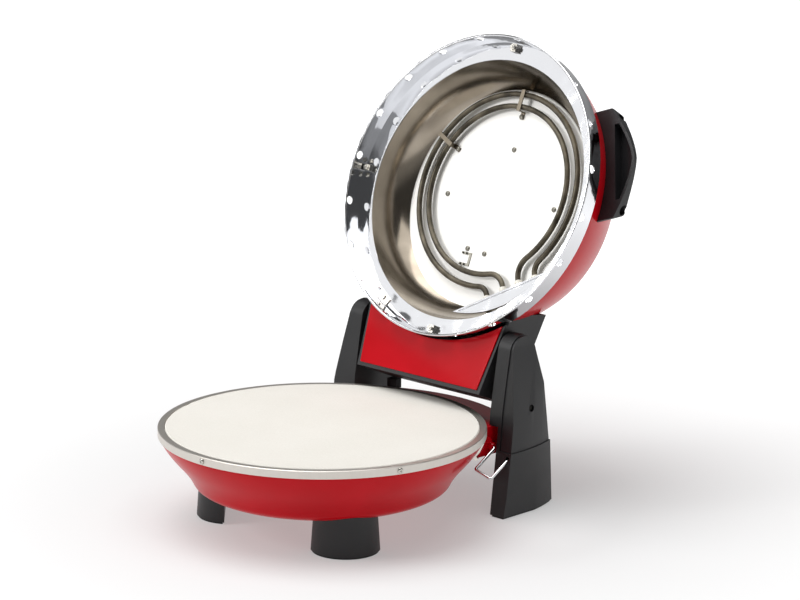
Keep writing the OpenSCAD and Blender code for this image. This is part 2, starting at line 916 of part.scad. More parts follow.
module vent_places() {
    for (i = [0 : vents_n - 1])
        rotate([0, 0, vent_turn + i * 360 / vents_n])
            translate([skirt_r - 6, 0, skirt_h * 0.69])
                rotate([0, 90, 0])
                    children();
}

// Chrome ring: a polished flat, and a skirt with round vents and a rolled lip
module skirt() {
    color("#dfe3e6")
        in_lid()
            difference() {
                rotate_extrude()
                    union() {
                        polygon([
                            [ring_r, -sheet], [skirt_r + sheet, -sheet], [skirt_r + sheet, 0],
                            [lip_r - 0.4, skirt_h - 1.2], [lip_r - 0.4 - sheet, skirt_h - 1.2],
                            [skirt_r, 0], [ring_r, 0]
                        ]);
                        translate([lip_r - 0.4, skirt_h - 1.2]) circle(r = 1.2);
                    }
                vent_places() cylinder(r = vent_r, h = 14);
            }
}

// Places for what stands on the ring: its turn from +X, its distance from the lid's axis
stud_ring_r = skirt_r - 5.5;

// Four small brackets on the polished ring, each a block with a hexagon nut; the left one has a stud head at each side
module ring_studs() {
    color("#cfd1d3")
        in_lid() {
            for (a = [0, 90, 180, 270])
                rotate([0, 0, a])
                    translate([stud_ring_r - 4.5, 0, 0]) {
                        translate([0, -3.4, 0]) cube([8.5, 6.8, 5]);
                        translate([4.2, 0, 5]) cylinder(r = 3.1, h = 2.6, $fn = 6);
                        translate([4.2, 0, 7.6]) cylinder(r = 1.5, h = 1);
                    }
            for (t = [-7.5, 7.5])
                rotate([0, 0, 180])
                    translate([stud_ring_r, t, 0]) cylinder(r1 = 2.6, r2 = 1.8, h = 1.8);
        }
}

// Two screwed tabs that tie the ring to the neck
module ring_clips() {
    color("#eceeef")
        in_lid()
            for (a = [239, 299])
                rotate([0, 0, a])
                    translate([stud_ring_r - 3.6, -9, 0]) {
                        difference() {
                            cube([8, 18, 1.6]);
                            translate([4, 9, -1]) cylinder(r = 1.6, h = 4);
                        }
                        translate([4, 9, 1.6]) screw(1.6, 1.6, 2.9, 1.6);
                    }
}

shield_turn = -60;
shield_dist = ring_r - 27;
heater_h = bowl_depth - heater_lift;

// The two heaters lie with their ends towards the terminals
module on_upper_heater() {
    translate([0, loop_up, -heater_h]) rotate([0, 0, shield_turn]) children();
}

// Outline of the bowl's wall from the polished ring down to the plate
function bowl_line(out) = bend([ring_r + out, -sheet], [ring_r - bowl_slope * 0.28 + out, -bowl_depth * 0.75],
                               [plate_r + out, -bowl_depth], 10);

// Stainless bowl, with a flat plate behind the heaters
module bowl() {
    color("#b9b6ae")
        in_lid()
            difference() {
                rotate_extrude()
                    polygon(concat(
                        bowl_line(0), [[0, -bowl_depth], [0, -bowl_depth - sheet]],
                        [for (i = [10 : -1 : 0]) bowl_line(sheet)[i] - [0, i == 10 ? sheet : 0]]
                    ));
                on_upper_heater() {
                    loop_tails(inner_loop_r, inner_bend_r, inner_gap, tube_r + 0.3, 60);
                    loop_tails(outer_loop_r, outer_bend_r, outer_gap, tube_r + 0.3, 40);
                }
                bowl_screw_places() translate([0, 0, -4]) cylinder(r = 1.6, h = 6);
            }
}

// Mineral wool between the bowl and the dome
module blanket() {
    color("#d8d2bd")
        in_lid()
            translate([0, 0, -dome_h + 3])
                difference() {
                    cylinder(r = plate_r - 14, h = dome_h - 4 - bowl_depth - 6);
                    translate([30, -80, -1]) cylinder(r = 20, h = 60);
                }
}

module inner_heater() {
    color("#45423a")
        in_lid()
            on_upper_heater()
                heater_loop(inner_loop_r, inner_bend_r, inner_gap, 24);
}

module outer_heater() {
    color("#45423a")
        in_lid()
            on_upper_heater()
                heater_loop(outer_loop_r, outer_bend_r, outer_gap, 20);
}

strap_turns = [90, 154];
strap_screw_r = inner_loop_r - 8.5;

// Bent straps over both loops, each screwed to the plate at its inner end
module heater_straps() {
    top = heater_lift + tube_r + 0.15;
    r1 = inner_loop_r - tube_r - 1.4;
    r2 = outer_loop_r + tube_r + 0.4;
    color("#c2c2bd")
        in_lid()
            translate([0, loop_up, -bowl_depth])
                for (a = strap_turns)
                    rotate([0, 0, a])
                        rotate([90, 0, 0])
                            translate([0, 0, -2.4])
                                difference() {
                                    linear_extrude(4.8)
                                        polygon([
                                            [r1 - 8, 0], [r1, 0], [r1, top], [r2, top], [r2, heater_lift - 2],
                                            [r2 + 1, heater_lift - 2], [r2 + 1, top + 1], [r1 - 1, top + 1],
                                            [r1 - 1, 1], [r1 - 8, 1]
                                        ]);
                                    translate([strap_screw_r - 1, -1, 2.4]) rotate([-90, 0, 0]) cylinder(r = 1.6, h = 3);
                                }
}

module upper_bushings() {
    color("#f0ede6")
        in_lid()
            on_upper_heater() {
                bushings(inner_loop_r, inner_bend_r, inner_gap,
                         bend_end(inner_loop_r, inner_bend_r, inner_gap) + 1.5, 5, 1);
                bushings(outer_loop_r, outer_bend_r, outer_gap,
                         bend_end(outer_loop_r, outer_bend_r, outer_gap) + 1.5, 5, 1);
            }
}

shield_h = 20;
shield_r = ring_r - 11;

// Segment of the bowl's circle, moved in by a margin
module shield_plan(in) {
    intersection() {
        circle(r = shield_r - in);
        translate([shield_dist + in, -shield_r]) square([60, 2 * shield_r]);
    }
}

// Stainless cover over the heaters' cold ends: a segment of the bowl with a raised border
module terminal_shield() {
    color("#dcdcd9")
        in_lid()
            rotate([0, 0, shield_turn])
                translate([0, 0, -shield_h]) {
                    difference() {
                        linear_extrude(sheet + 1.6) shield_plan(0);
                        translate([0, 0, sheet]) linear_extrude(3) shield_plan(1.8);
                    }
                    translate([0, 0, -5])
                        linear_extrude(5)
                            intersection() {
                                circle(r = shield_r - 2);
                                translate([shield_dist, -shield_r]) square([sheet, 2 * shield_r]);
                            }
                }
}

module bowl_screw_places() {
    for (p = [[-69, -5], [2, 53], [-21, -57], [3, -59], [76, 0]])
        translate([p[0], p[1], -bowl_depth]) children();
    for (a = strap_turns)
        translate([(strap_screw_r - 1) * cos(a), loop_up + (strap_screw_r - 1) * sin(a), 1 - bowl_depth]) children();
}

module bowl_screws() {
    color("#a9a9a6")
        in_lid()
            bowl_screw_places() screw(1.6, 3.4, 2.7, 1.8);
}

// Bent holder for the thermostat's probe: a strip on the plate with two tabs that stand up
module probe_clip() {
    color("#cfcfcb")
        in_lid()
            translate([-25, -75, -bowl_depth]) {
                translate([9, 0, 0]) cube([3, 14, 0.8]);
                for (y = [0, 11.6]) {
                    translate([0, y, 0]) cube([12, 2.4, 0.8]);
                    translate([0, y, 0]) cube([0.8, 2.4, 2.8]);
                    translate([5, y, 0]) cube([0.8, 2.4, 2.6]);
                }
            }
}

// Handles

// Moves a handle's own frame, X out of the lid, to the right-hand side
module on_handle() {
    rotate([0, 0, handle_turn]) children();
}

screw_level = -handle_up - 9;

module handle_screw_places() {
    both_sides()
        on_handle()
            for (s = [-1, 1])
                translate([dome_r - 17, s * (handle_half - 9), screw_level])
                    rotate([0, 90, 0])
                        children();
}

// Distance of the handle's outer edge from the lid's axis, at t along the handle
function handle_edge(t) = handle_reach - handle_bow * pow(abs(t) / handle_half, 1.5);

// Ear-shaped handle: flat underneath, sloping on top, with a hollow for the fingers
module handle_solid() {
    steps = 12;
    edge = [for (i = [-steps : steps]) [handle_edge(i * handle_half / steps), i * handle_half / steps]];
    inner = [for (i = [-steps : steps]) [handle_edge(i * gap_half / steps) - 3.4, i * gap_half / steps]];
    difference() {
        on_handle()
            difference() {
                intersection() {
                    translate([0, 0, -handle_up - handle_h])
                        linear_extrude(handle_h)
                            polygon(concat([[110, handle_half], [110, -handle_half]], edge));
                    rotate([90, 0, 0])
                        translate([0, 0, -80])
                            linear_extrude(160)
                                polygon([
                                    [100, -handle_up], [handle_reach + 1, -handle_up],
                                    [handle_reach + 1, -handle_up - 3.5], [handle_reach - 14, -handle_up - 9.5],
                                    [dome_r - 14, -handle_up - handle_h], [100, -handle_up - handle_h]
                                ]);
                    rotate([90, 0, 90])
                        linear_extrude(300)
                            polygon([
                                [handle_half, -handle_up], [handle_half, -handle_up - 3],
                                [handle_half - 4, -handle_up - 12],
                                [handle_half - 14, -handle_up - handle_h], [14 - handle_half, -handle_up - handle_h],
                                [4 - handle_half, -handle_up - 12], [-handle_half, -handle_up - 3],
                                [-handle_half, -handle_up]
                            ]);
                }
                intersection() {
                    translate([0, 0, -handle_up - handle_h])
                        linear_extrude(handle_h + 1)
                            polygon(concat([[grip_in, gap_half], [grip_in, -gap_half]], inner));
                    rotate([90, 0, 0])
                        translate([0, 0, -80])
                            linear_extrude(160)
                                polygon([
                                    [100, 2 - handle_up], [handle_reach + 1, 2 - handle_up],
                                    [handle_reach + 1, -handle_up - 0.5], [handle_reach - 14, -handle_up - 6.5],
                                    [dome_r - 14, -handle_up - handle_h + 3], [100, -handle_up - handle_h + 3]
                                ]);
                }
                for (s = [-1, 1])
                    translate([dome_r - 30, s * (handle_half - 9), screw_level])
                        rotate([0, 90, 0]) {
                            cylinder(r = 2, h = 40);
                            translate([0, 0, 26]) cylinder(r = 4.5, h = 60);
                        }
            }
        translate([0, 0, -sheet]) dome_solid(0);
    }
}

module handle_right() {
    color("#29292b") in_lid() handle_solid();
}

module handle_left() {
    color("#29292b") in_lid() mirror([1, 0, 0]) handle_solid();
}

module handle_screws() {
    color("#8d8d8f")
        in_lid()
            both_sides()
                on_handle()
                    for (s = [-1, 1])
                        translate([dome_r - 4, s * (handle_half - 9), screw_level])
                            rotate([0, 90, 0])
                                screw(2, 18, 3.8, 2.4);
}

// Neck

// Half width of the neck at a distance behind the lid's axis
function neck_at(back) = neck_half + (neck_back - back) * neck_taper;

neck_front = hinge_back - 66;

module neck_plan(in) {
    polygon([
        [-neck_at(neck_back) + in, -neck_back + in], [neck_at(neck_back) - in, -neck_back + in],
        [neck_at(neck_front) - in, -neck_front], [-neck_at(neck_front) + in, -neck_front]
    ]);
}

// Side view of the neck: Y is towards the lid's front and Z towards the stone
module neck_side(in) {
    polygon([
        [-neck_back + in, -neck_top + in], [-neck_front, -neck_top + in],
        [-neck_front - 14, plate_drop - 1.5 - in], [-neck_back + in, plate_drop - 1.5 - in]
    ]);
}

module neck_box(in) {
    intersection() {
        translate([0, 0, -neck_top - 1]) linear_extrude(neck_top + 20) neck_plan(in);
        rotate([90, 0, 90]) translate([0, 0, -150]) linear_extrude(300) neck_side(in);
    }
}

// The space that the dome and the skirt take
module lid_solid() {
    translate([0, 0, -sheet]) dome_solid(0);
    translate([0, 0, -sheet]) cylinder(r = lip_r + 1, h = skirt_h + sheet + 5);
}

pin_in = neck_half - 14;

// Black housing behind the dome, hollow, with bosses for the hinge pins
module neck_shell() {
    color("#29292b")
        in_lid()
            difference() {
                neck_box(0);
                lid_solid();
                difference() {
                    neck_box(neck_wall);
                    rod_x(pin_in, 200, pin_r + 5, -hinge_back, -pivot_rise);
                    rod_x(-200, -pin_in, pin_r + 5, -hinge_back, -pivot_rise);
                    translate([0, 0, -sheet]) cylinder(r = lip_r + 4, h = 20);
                }
                rod_x(-200, 200, pin_r, -hinge_back, -pivot_rise);
                neck_screw_places() translate([0, 0, -neck_wall - 1]) cylinder(r = 1.6, h = neck_wall + 2);
                // seat of the thermostat's shaft
                translate([knob_x, panel_y, -neck_top - 1]) cylinder(r = 4.4, h = neck_wall + 2);
            }
}

// Red plate on the neck's underside, which faces the user when the lid is open
module neck_plate() {
    color("#b8101f")
        in_lid()
            translate([0, 0, plate_drop - 1.5])
                difference() {
                    linear_extrude(1.5)
                        polygon([
                            [-neck_at(neck_back) + plate_margin, -neck_back + plate_margin],
                            [neck_at(neck_back) - plate_margin, -neck_back + plate_margin],
                            [neck_at(neck_front) - plate_margin, -neck_front - 14],
                            [-neck_at(neck_front) + plate_margin, -neck_front - 14]
                        ]);
                    translate([0, 0, -1]) cylinder(r = lip_r + 1, h = 5);
                }
}

module neck_screw_places() {
    both_sides()
        for (y = [-neck_back + 9, -hinge_back + 12])
            translate([neck_half - 22, y, plate_drop - 1.5])
                children();
}

// Screws that hold the red plate from inside the neck
module neck_screws() {
    color("#b9b9b9")
        in_lid()
            neck_screw_places()
                translate([0, 0, -neck_wall]) rotate([180, 0, 0]) screw(1.6, neck_wall, 3, 1.8);
}

// Steel hinge pin, pressed into the neck; the right-hand one is hollow for the lead
module pin_solid(hollow) {
    difference() {
        union() {
            rod_x(pin_in + 1, cover_plane - 1.4, pin_r, -hinge_back, -pivot_rise);
        }
        difference() {
            rod_x(bush_end + 0.4, bush_end + 1.7, pin_r + 1, -hinge_back, -pivot_rise);
            rod_x(bush_end, bush_end + 2, pin_r - 1, -hinge_back, -pivot_rise);
        }
        if (hollow)
            rod_x(0, 200, loom_r + 0.6, -hinge_back, -pivot_rise);
    }
}

module pin_right() {
    color("#b4b8bb") in_lid() pin_solid(true);
}

module pin_left() {
    color("#b4b8bb") in_lid() mirror([1, 0, 0]) pin_solid(false);
}

// Retaining rings in the pins' grooves
module pin_clips() {
    color("#8f9396")
        in_lid()
            both_sides()
                difference() {
                    rod_x(bush_end + 0.45, bush_end + 1.65, pin_r + 2.5, -hinge_back, -pivot_rise);
                    rod_x(bush_end, bush_end + 2, pin_r - 1, -hinge_back, -pivot_rise);
                }
}

panel_y = -hinge_back - 3;
panel_t = 2;

// Control panel on the face of the neck that is on top when the lid is closed
module control_panel() {
    color("#3a3a3d")
        in_lid()
            translate([0, panel_y, -neck_top - panel_t])
                difference() {
                    linear_extrude(panel_t) {
                        square([124, 44], center = true);
                        for (s = [-1, 1])
                            translate([s * 62, 0]) circle(r = 22);
                    }
                    translate([knob_x, 0, -1]) cylinder(r = 4.4, h = panel_t + 2);
                    for (i = [0, 1])
                        translate([-26 - i * 22, 0, -1]) cylinder(r = lamp_r, h = panel_t + 2);
                }
}

module pilot_lamps() {
    color("#d8641e")
        in_lid()
            for (i = [0, 1])
                translate([-26 - i * 22, panel_y, -neck_top - panel_t]) {
                    cylinder(r = lamp_r, h = panel_t);
                    translate([0, 0, -1.2]) cylinder(r1 = lamp_r - 1, r2 = lamp_r + 1, h = 1.2);
                }
}

// Thermostat inside the neck, with its shaft through the panel
module lid_thermostat() {
    color("#b5b5b2")
        in_lid()
            translate([knob_x, panel_y, -neck_top + neck_wall]) {
                translate([-17, -14, 0]) cube([34, 28, 18]);
                translate([0, 0, -neck_wall - panel_t]) cylinder(r = 4.4, h = neck_wall + panel_t);
                translate([0, 0, -neck_wall - panel_t - 9]) cylinder(r = 3, h = 12);
            }
}

module lid_terminals() {
    color("#ebe8e0")
        in_lid()
            translate([-50, -hinge_back - 10, -neck_top + neck_wall])
                difference() {
                    cube([44, 16, 13]);
                    for (i = [0 : 3])
                        translate([6 + i * 10.5, 8, 4]) cylinder(r = 2.4, h = 12);
                }
}

// Thermostat knob with a grip bar
module knob() {
    gap = 0.5;
    color("#1d1d1f")
        in_lid()
            translate([knob_x, panel_y, -neck_top - panel_t - gap])
                difference() {
                    union() {
                        translate([0, 0, -4]) cylinder(r1 = knob_r - 0.6, r2 = knob_r, h = 4);
                        translate([0, 0, -knob_h])
                            intersection() {
                                cylinder(r1 = knob_r - 4, r2 = knob_r - 2.5, h = knob_h - 3);
                                translate([-4.5, -knob_r, 0]) cube([9, 2 * knob_r, knob_h]);
                            }
                    }
                    translate([0, 0, -9]) cylinder(r = 3 + pin_fit, h = 10);
                }
}

pan();
rim_ring();
rim_screws();
stone_tray();
base_insulation();
lower_heater();
lower_clips();
lower_bushings();
lower_cutout();
base_terminals();
wire_loom();
cord_gland();
foot_left();
foot_right();
foot_screws();
rubber_pads();
post_left();
post_right();
cover_left();
cover_right();
cover_screws();
post_bolts();
bush_left();
bush_right();
stop_bumpers();
latch_keepers();
latch_sockets();
bail_left();
bail_right();
stone();
dome();
skirt();
bowl();
blanket();
inner_heater();
outer_heater();
heater_straps();
upper_bushings();
terminal_shield();
bowl_screws();
probe_clip();
ring_studs();
ring_clips();
handle_left();
handle_right();
handle_screws();
neck_shell();
neck_plate();
neck_screws();
pin_left();
pin_right();
pin_clips();
control_panel();
pilot_lamps();
lid_thermostat();
lid_terminals();
knob();
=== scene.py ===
# %% [markdown]
# # A countertop pizza maker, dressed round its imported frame
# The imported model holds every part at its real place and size, in metres.
# This lesson gives each part its finish and, where the solid is too plain, a
# finer piece. Nothing is moved: a new piece is built where its part already is.

# %% Load the frame
import json
import math
import bmesh
import bpy
import numpy as np
from mathutils import Matrix, Vector


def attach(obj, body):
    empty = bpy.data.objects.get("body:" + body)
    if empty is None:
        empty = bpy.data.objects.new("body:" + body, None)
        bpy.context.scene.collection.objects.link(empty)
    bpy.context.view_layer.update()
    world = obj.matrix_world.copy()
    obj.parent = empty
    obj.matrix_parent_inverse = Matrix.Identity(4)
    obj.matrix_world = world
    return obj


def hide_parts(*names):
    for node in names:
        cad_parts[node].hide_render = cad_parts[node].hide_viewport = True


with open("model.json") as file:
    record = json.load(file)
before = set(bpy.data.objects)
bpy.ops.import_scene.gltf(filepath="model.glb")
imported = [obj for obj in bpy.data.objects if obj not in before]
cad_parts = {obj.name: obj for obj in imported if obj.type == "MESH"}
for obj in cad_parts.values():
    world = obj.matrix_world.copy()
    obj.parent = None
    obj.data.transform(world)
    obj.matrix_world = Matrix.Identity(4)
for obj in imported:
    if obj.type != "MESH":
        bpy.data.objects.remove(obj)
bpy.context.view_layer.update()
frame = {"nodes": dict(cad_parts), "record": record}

MM = 0.001
BODY_OF = {n: b for b, ns in frame["record"]["behaviour"]["bodies"].items() for n in ns}

# %% [markdown]
# ## Colours and nodes
# Screens and paint cards give colours in sRGB, but Cycles works in linear light.
# One function does that change, and one function adds a node to a tree, so every
# finish below reads as a list of what feeds what.


# %% Colours
def colour(code):
    """An sRGB hex code as Blender's linear colour."""
    parts = [int(code[i:i + 2], 16) / 255 for i in (1, 3, 5)]
    return (*[v / 12.92 if v <= 0.04045 else ((v + 0.055) / 1.055) ** 2.4 for v in parts], 1.0)


print("mid grey #808080 in linear light:", round(colour("#808080")[0], 3))


# %% Nodes
def put(tree, kind, feeds=None, **settings):
    """Adds a node. feeds gives a socket, by name or number, its value or the socket that feeds it."""
    node = tree.nodes.new(kind)
    for name, value in settings.items():
        setattr(node, name, value)
    for socket, value in (feeds or {}).items():
        if isinstance(value, bpy.types.NodeSocket):
            tree.links.new(value, node.inputs[socket])
        else:
            node.inputs[socket].default_value = value
    return node


def per_mm(size):
    """The texture scale whose grain repeats about every so many millimetres."""
    return 1.0 / (size * MM)


def begin(name, **shader):
    """A new finish: its tree, its shader and the object's own coordinates."""
    finish = bpy.data.materials.new(name)
    finish.use_nodes = True
    tree = finish.node_tree
    tree.nodes.clear()
    skin = put(tree, "ShaderNodeBsdfPrincipled", {k.replace("_", " "): v for k, v in shader.items()})
    put(tree, "ShaderNodeOutputMaterial", {"Surface": skin.outputs[0]})
    return finish, tree, skin, put(tree, "ShaderNodeTexCoord").outputs["Object"]


print("a grain of 2 mm has the texture scale", per_mm(2))

# %% [markdown]
# ## Patterns
# A finish is a pattern or two: one that moves the colour between two tones, one
# that moves a value such as roughness, and bumps of a stated height. A finish is
# filed under a name, which for most of them is that of the slot they fill.


# %% Pattern helpers
def two_tone(tree, factor, dark, light, low, high):
    """A ramp between two sRGB colours, which it reaches where the pattern is low and high."""
    ramp = put(tree, "ShaderNodeValToRGB", {0: factor})
    ends = ramp.color_ramp.elements
    ends[0].position, ends[1].position = low, high
    ends[0].color, ends[1].color = colour(dark), colour(light)
    return ramp.outputs[0]


def spread(tree, factor, low, high):
    """Turns a 0 to 1 pattern into a range of values, such as roughness."""
    return put(tree, "ShaderNodeMapRange", {0: factor, 3: low, 4: high}).outputs[0]


def bumps(tree, skin, *layers):
    """Stacks bump layers, each a pattern and its height in millimetres, on a finish."""
    normal = None
    for pattern, height in layers:
        feeds = {"Height": pattern, "Distance": height * MM, "Strength": 1.0}
        if normal:
            feeds["Normal"] = normal
        normal = put(tree, "ShaderNodeBump", feeds).outputs[0]
    tree.links.new(normal, skin.inputs["Normal"])


FINISHES = {}


def file_as(name, finish):
    """Files a finish under a name and says what it holds."""
    FINISHES[name] = finish
    print(finish.name, "has", len(finish.node_tree.nodes), "nodes")


print(len(FINISHES), "finishes so far")

# %% [markdown]
# ## Red enamel
# The pan, the dome and the neck's plate are pressed aluminium under baked gloss
# enamel. Sprayed enamel is never quite flat: it dries with a faint orange peel
# of a few millimetres, which makes reflections swim. The red itself is deep, and
# a thin clear coat over it gives the gloss without washing it pink.


# %% Red enamel
def red_enamel():
    finish, tree, skin, at = begin("baked red enamel", Roughness=0.35, Specular_IOR_Level=0.05,
                                   Coat_Weight=0.35, Coat_Roughness=0.05, Coat_IOR=1.36)
    cloud = put(tree, "ShaderNodeTexNoise", {"Vector": at, "Scale": per_mm(60), "Detail": 3.0})
    peel = put(tree, "ShaderNodeTexNoise", {"Vector": at, "Scale": per_mm(4), "Detail": 2.0})
    red = two_tone(tree, cloud.outputs[0], "#b3000f", "#c00517", 0.3, 0.7)
    tree.links.new(red, skin.inputs["Base Color"])
    bumps(tree, skin, (peel.outputs[0], 0.02))
    return finish


file_as("red_enamel", red_enamel())

# %% [markdown]
# ## Moulded black plastic
# Posts, feet, handles and neck are heat-proof plastic with a spark-eroded grain
# finer than a millimetre. The grain breaks up highlights into a soft sheen.
# A Voronoi pattern gives the pits and a slow noise the uneven gloss of moulding.


# %% Black plastic
def black_plastic():
    finish, tree, skin, at = begin("grained black thermoplastic", IOR=1.5)
    grain = put(tree, "ShaderNodeTexVoronoi", {"Vector": at, "Scale": per_mm(0.7)})
    flow = put(tree, "ShaderNodeTexNoise", {"Vector": at, "Scale": per_mm(25), "Detail": 4.0})
    tree.links.new(two_tone(tree, flow.outputs[0], "#131315", "#1b1b1d", 0.3, 0.7), skin.inputs["Base Color"])
    tree.links.new(spread(tree, flow.outputs[0], 0.4, 0.54), skin.inputs["Roughness"])
    bumps(tree, skin, (grain.outputs[0], 0.05))
    return finish


file_as("black_plastic", black_plastic())

# %% [markdown]
# ## Baking stone
# The plate is pressed cordierite: chalky, cream, with fine dark and pale grit and
# small pores. It has almost no gloss. Grit of a millimetre or two is just visible.


# %% Baking stone
def baking_stone():
    finish, tree, skin, at = begin("pressed cordierite", Roughness=0.88, IOR=1.45)
    grit = put(tree, "ShaderNodeTexNoise",
               {"Vector": at, "Scale": per_mm(1.6), "Detail": 6.0, "Roughness": 0.75})
    patch = put(tree, "ShaderNodeTexNoise", {"Vector": at, "Scale": per_mm(70), "Detail": 3.0})
    pores = put(tree, "ShaderNodeTexVoronoi", {"Vector": at, "Scale": per_mm(5)})
    fine = two_tone(tree, grit.outputs[0], "#d3cfc7", "#e1ded7", 0.32, 0.62)
    wide = two_tone(tree, patch.outputs[0], "#dad7cf", "#e1ded7", 0.3, 0.7)
    both = put(tree, "ShaderNodeMix", {0: 0.5, 6: fine, 7: wide}, data_type="RGBA")
    tree.links.new(both.outputs[2], skin.inputs["Base Color"])
    hole = put(tree, "ShaderNodeMapRange", {0: pores.outputs[0], 1: 0.0, 2: 0.12, 3: 0.0, 4: 1.0})
    bumps(tree, skin, (grit.outputs[0], 0.12), (hole.outputs[0], 0.1))
    return finish


file_as("stone", baking_stone())

# %% [markdown]
# ## Bright metals
# Skirt and ring are polished stainless steel, and the tray and clips have a satin
# finish. A metal has no colour of its own in the diffuse sense: it only mirrors,
# so its roughness does the work. Rolling marks stretch one way, which a noise
# squeezed along one axis copies. Thin sheet is also never flat: slow waves of some
# tens of millimetres bend what it mirrors into streaks. Heat has dulled the screws
# and the clip in the bowl, and browned the heaters' straps. The rim's rolled band
# is a little rougher than the tray, so it stays pale beside the stone.


# %% Bright metals
def bright_metal(name, tint, roughness, marks=0.0, mark_mm=1.2, stretch=(1, 1, 12), waves=()):
    """marks is the height of the rolling marks, waves are (size, height), all in millimetres."""
    finish, tree, skin, at = begin(name, Metallic=1.0, Base_Color=colour(tint))
    drawn = put(tree, "ShaderNodeMapping", {0: at, 3: tuple(1 / s for s in stretch)})
    scratch = put(tree, "ShaderNodeTexNoise",
                  {"Vector": drawn.outputs[0], "Scale": per_mm(mark_mm), "Detail": 4.0})
    uneven = spread(tree, scratch.outputs[0], roughness * 0.7, roughness * 1.35)
    tree.links.new(uneven, skin.inputs["Roughness"])
    layers = [(scratch.outputs[0], marks)] if marks else []
    for size, height in waves:
        wave = put(tree, "ShaderNodeTexNoise", {"Vector": at, "Scale": per_mm(size), "Detail": 1.0})
        layers.append((wave.outputs[0], height))
    if layers:
        bumps(tree, skin, *layers)
    return finish


file_as("polished_steel", bright_metal("polished stainless steel", "#dcdde0", 0.06, 0.002,
                                       waves=((42, 1.3), (15, 0.2))))
file_as("brushed_steel", bright_metal("satin stainless steel", "#d2cdc6", 0.24, 0.004))
file_as("rim_steel", bright_metal("satin rim steel", "#d2cdc6", 0.42, 0.004))
file_as("strap_steel", bright_metal("heat-tinted strap", "#6f675b", 0.3, 0.004))
file_as("dull_steel", bright_metal("dull steel", "#8a877e", 0.38, 0.004, 0.6))
file_as("dark_screws", bright_metal("blackened screw", "#2c2b29", 0.35, 0.004, 0.6))
file_as("bright_screws", bright_metal("zinc-plated screw", "#c4c1ba", 0.2, 0.004, 0.6))
file_as("chrome_wire", bright_metal("chromed wire", "#e4e4e6", 0.08))

# %% [markdown]
# ## Heater sheath
# The tubes are stainless sheath that has been red hot: olive brown, blotched
# blue and straw near the ends. One noise blotches two olive-brown oxide tones, and a finer one gives the
# bumps.


# %% Heater sheath
def heater_sheath():
    finish, tree, skin, at = begin("oxidised heater sheath", Metallic=0.75, Roughness=0.42)
    blotch = put(tree, "ShaderNodeTexNoise", {"Vector": at, "Scale": per_mm(18), "Detail": 5.0})
    speck = put(tree, "ShaderNodeTexNoise", {"Vector": at, "Scale": per_mm(1.5), "Detail": 3.0})
    oxide = two_tone(tree, blotch.outputs[0], "#3a352c", "#6a6355", 0.35, 0.7)
    tree.links.new(oxide, skin.inputs["Base Color"])
    bumps(tree, skin, (speck.outputs[0], 0.04))
    return finish


file_as("heater_sheath", heater_sheath())

# %% [markdown]
# ## Small finishes
# Fired steatite, rubber, nylon, glass wool, braided sleeve, marking paint and lamp
# glass each get the grain that they have close up. One recipe serves: two tones, a
# grain and its height.


# %% Small finishes
def plain_finish(name, dark, light, grain_mm, height, roughness, **shader):
    """Two tones and bumps from one grain, whose size and height are in millimetres."""
    finish, tree, skin, at = begin(name, Roughness=roughness, **shader)
    grain = put(tree, "ShaderNodeTexNoise", {"Vector": at, "Scale": per_mm(grain_mm), "Detail": 4.0})
    tree.links.new(two_tone(tree, grain.outputs[0], dark, light, 0.35, 0.65), skin.inputs["Base Color"])
    bumps(tree, skin, (grain.outputs[0], height))
    return finish


file_as("white_ceramic", plain_finish("fired steatite", "#ded9cc", "#f2efe6", 0.6, 0.02, 0.4, IOR=1.55))
file_as("insulation", plain_finish("glass wool", "#c9bf9f", "#e6dec4", 1.5, 0.8, 0.95, Sheen_Weight=0.4))
file_as("wire_cover", plain_finish("braided glass sleeve", "#121212", "#202020", 0.8, 0.15, 0.6))
file_as("dark_rubber", plain_finish("vulcanised rubber", "#141414", "#1d1d1d", 0.9, 0.05, 0.75))
file_as("bush_nylon", plain_finish("natural nylon", "#cfc8b4", "#ddd7c6", 2.0, 0.01, 0.4))
file_as("lamp_lens", plain_finish("amber lamp glass", "#b8410a", "#d8560f", 3.0, 0.02, 0.08,
                                  IOR=1.49, Transmission_Weight=0.35))
file_as("switch_body", plain_finish("fired clay body", "#c9c0ab", "#dcd5c2", 0.8, 0.03, 0.6))
file_as("marking_paint", plain_finish("pale marking paint", "#dcdad2", "#f0eee8", 1.0, 0.01, 0.5))

# %% [markdown]
# ## Which body, which slot
# Every finished piece rides on one body of the frame and may stand for an imported
# part, which then hides.

# %% Body and slot
SLOT_OF = {s["node"]: s["material_slot"] for s in frame["record"]["subparts"]}


def keep(piece, body, slot, *stood_for):
    """Says which body a finished piece rides on and the parts it stands for; the slot is not used."""
    if stood_for:
        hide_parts(*stood_for)
    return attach(piece, body)


print(len(set(SLOT_OF.values())), "slots on", len(SLOT_OF), "parts")

# %% [markdown]
# ## Geometry Nodes trees
# Three rules make most of what is finer than its solid. A spun shell is an outline
# carried round a circle. A tube is a small circle carried along a path. A set of
# screws or bars is one shape placed on many points. Each rule is one tree with
# named inputs, fed by a plain mesh that holds only the outline, path or points.

# %% Tree helpers
SOCKETS = {float: "NodeSocketFloat", int: "NodeSocketInt", bpy.types.Material: "NodeSocketMaterial",
           bpy.types.Object: "NodeSocketObject"}


def begin_tree(name, **inputs):
    """A tree with a geometry in and out, and a named input for each size."""
    tree = bpy.data.node_groups.new(name, "GeometryNodeTree")
    tree.interface.new_socket("Geometry", in_out="INPUT", socket_type="NodeSocketGeometry")
    tree.interface.new_socket("Geometry", in_out="OUTPUT", socket_type="NodeSocketGeometry")
    for label, kind in inputs.items():
        tree.interface.new_socket(label, in_out="INPUT", socket_type=SOCKETS[kind])
    return tree, put(tree, "NodeGroupInput").outputs


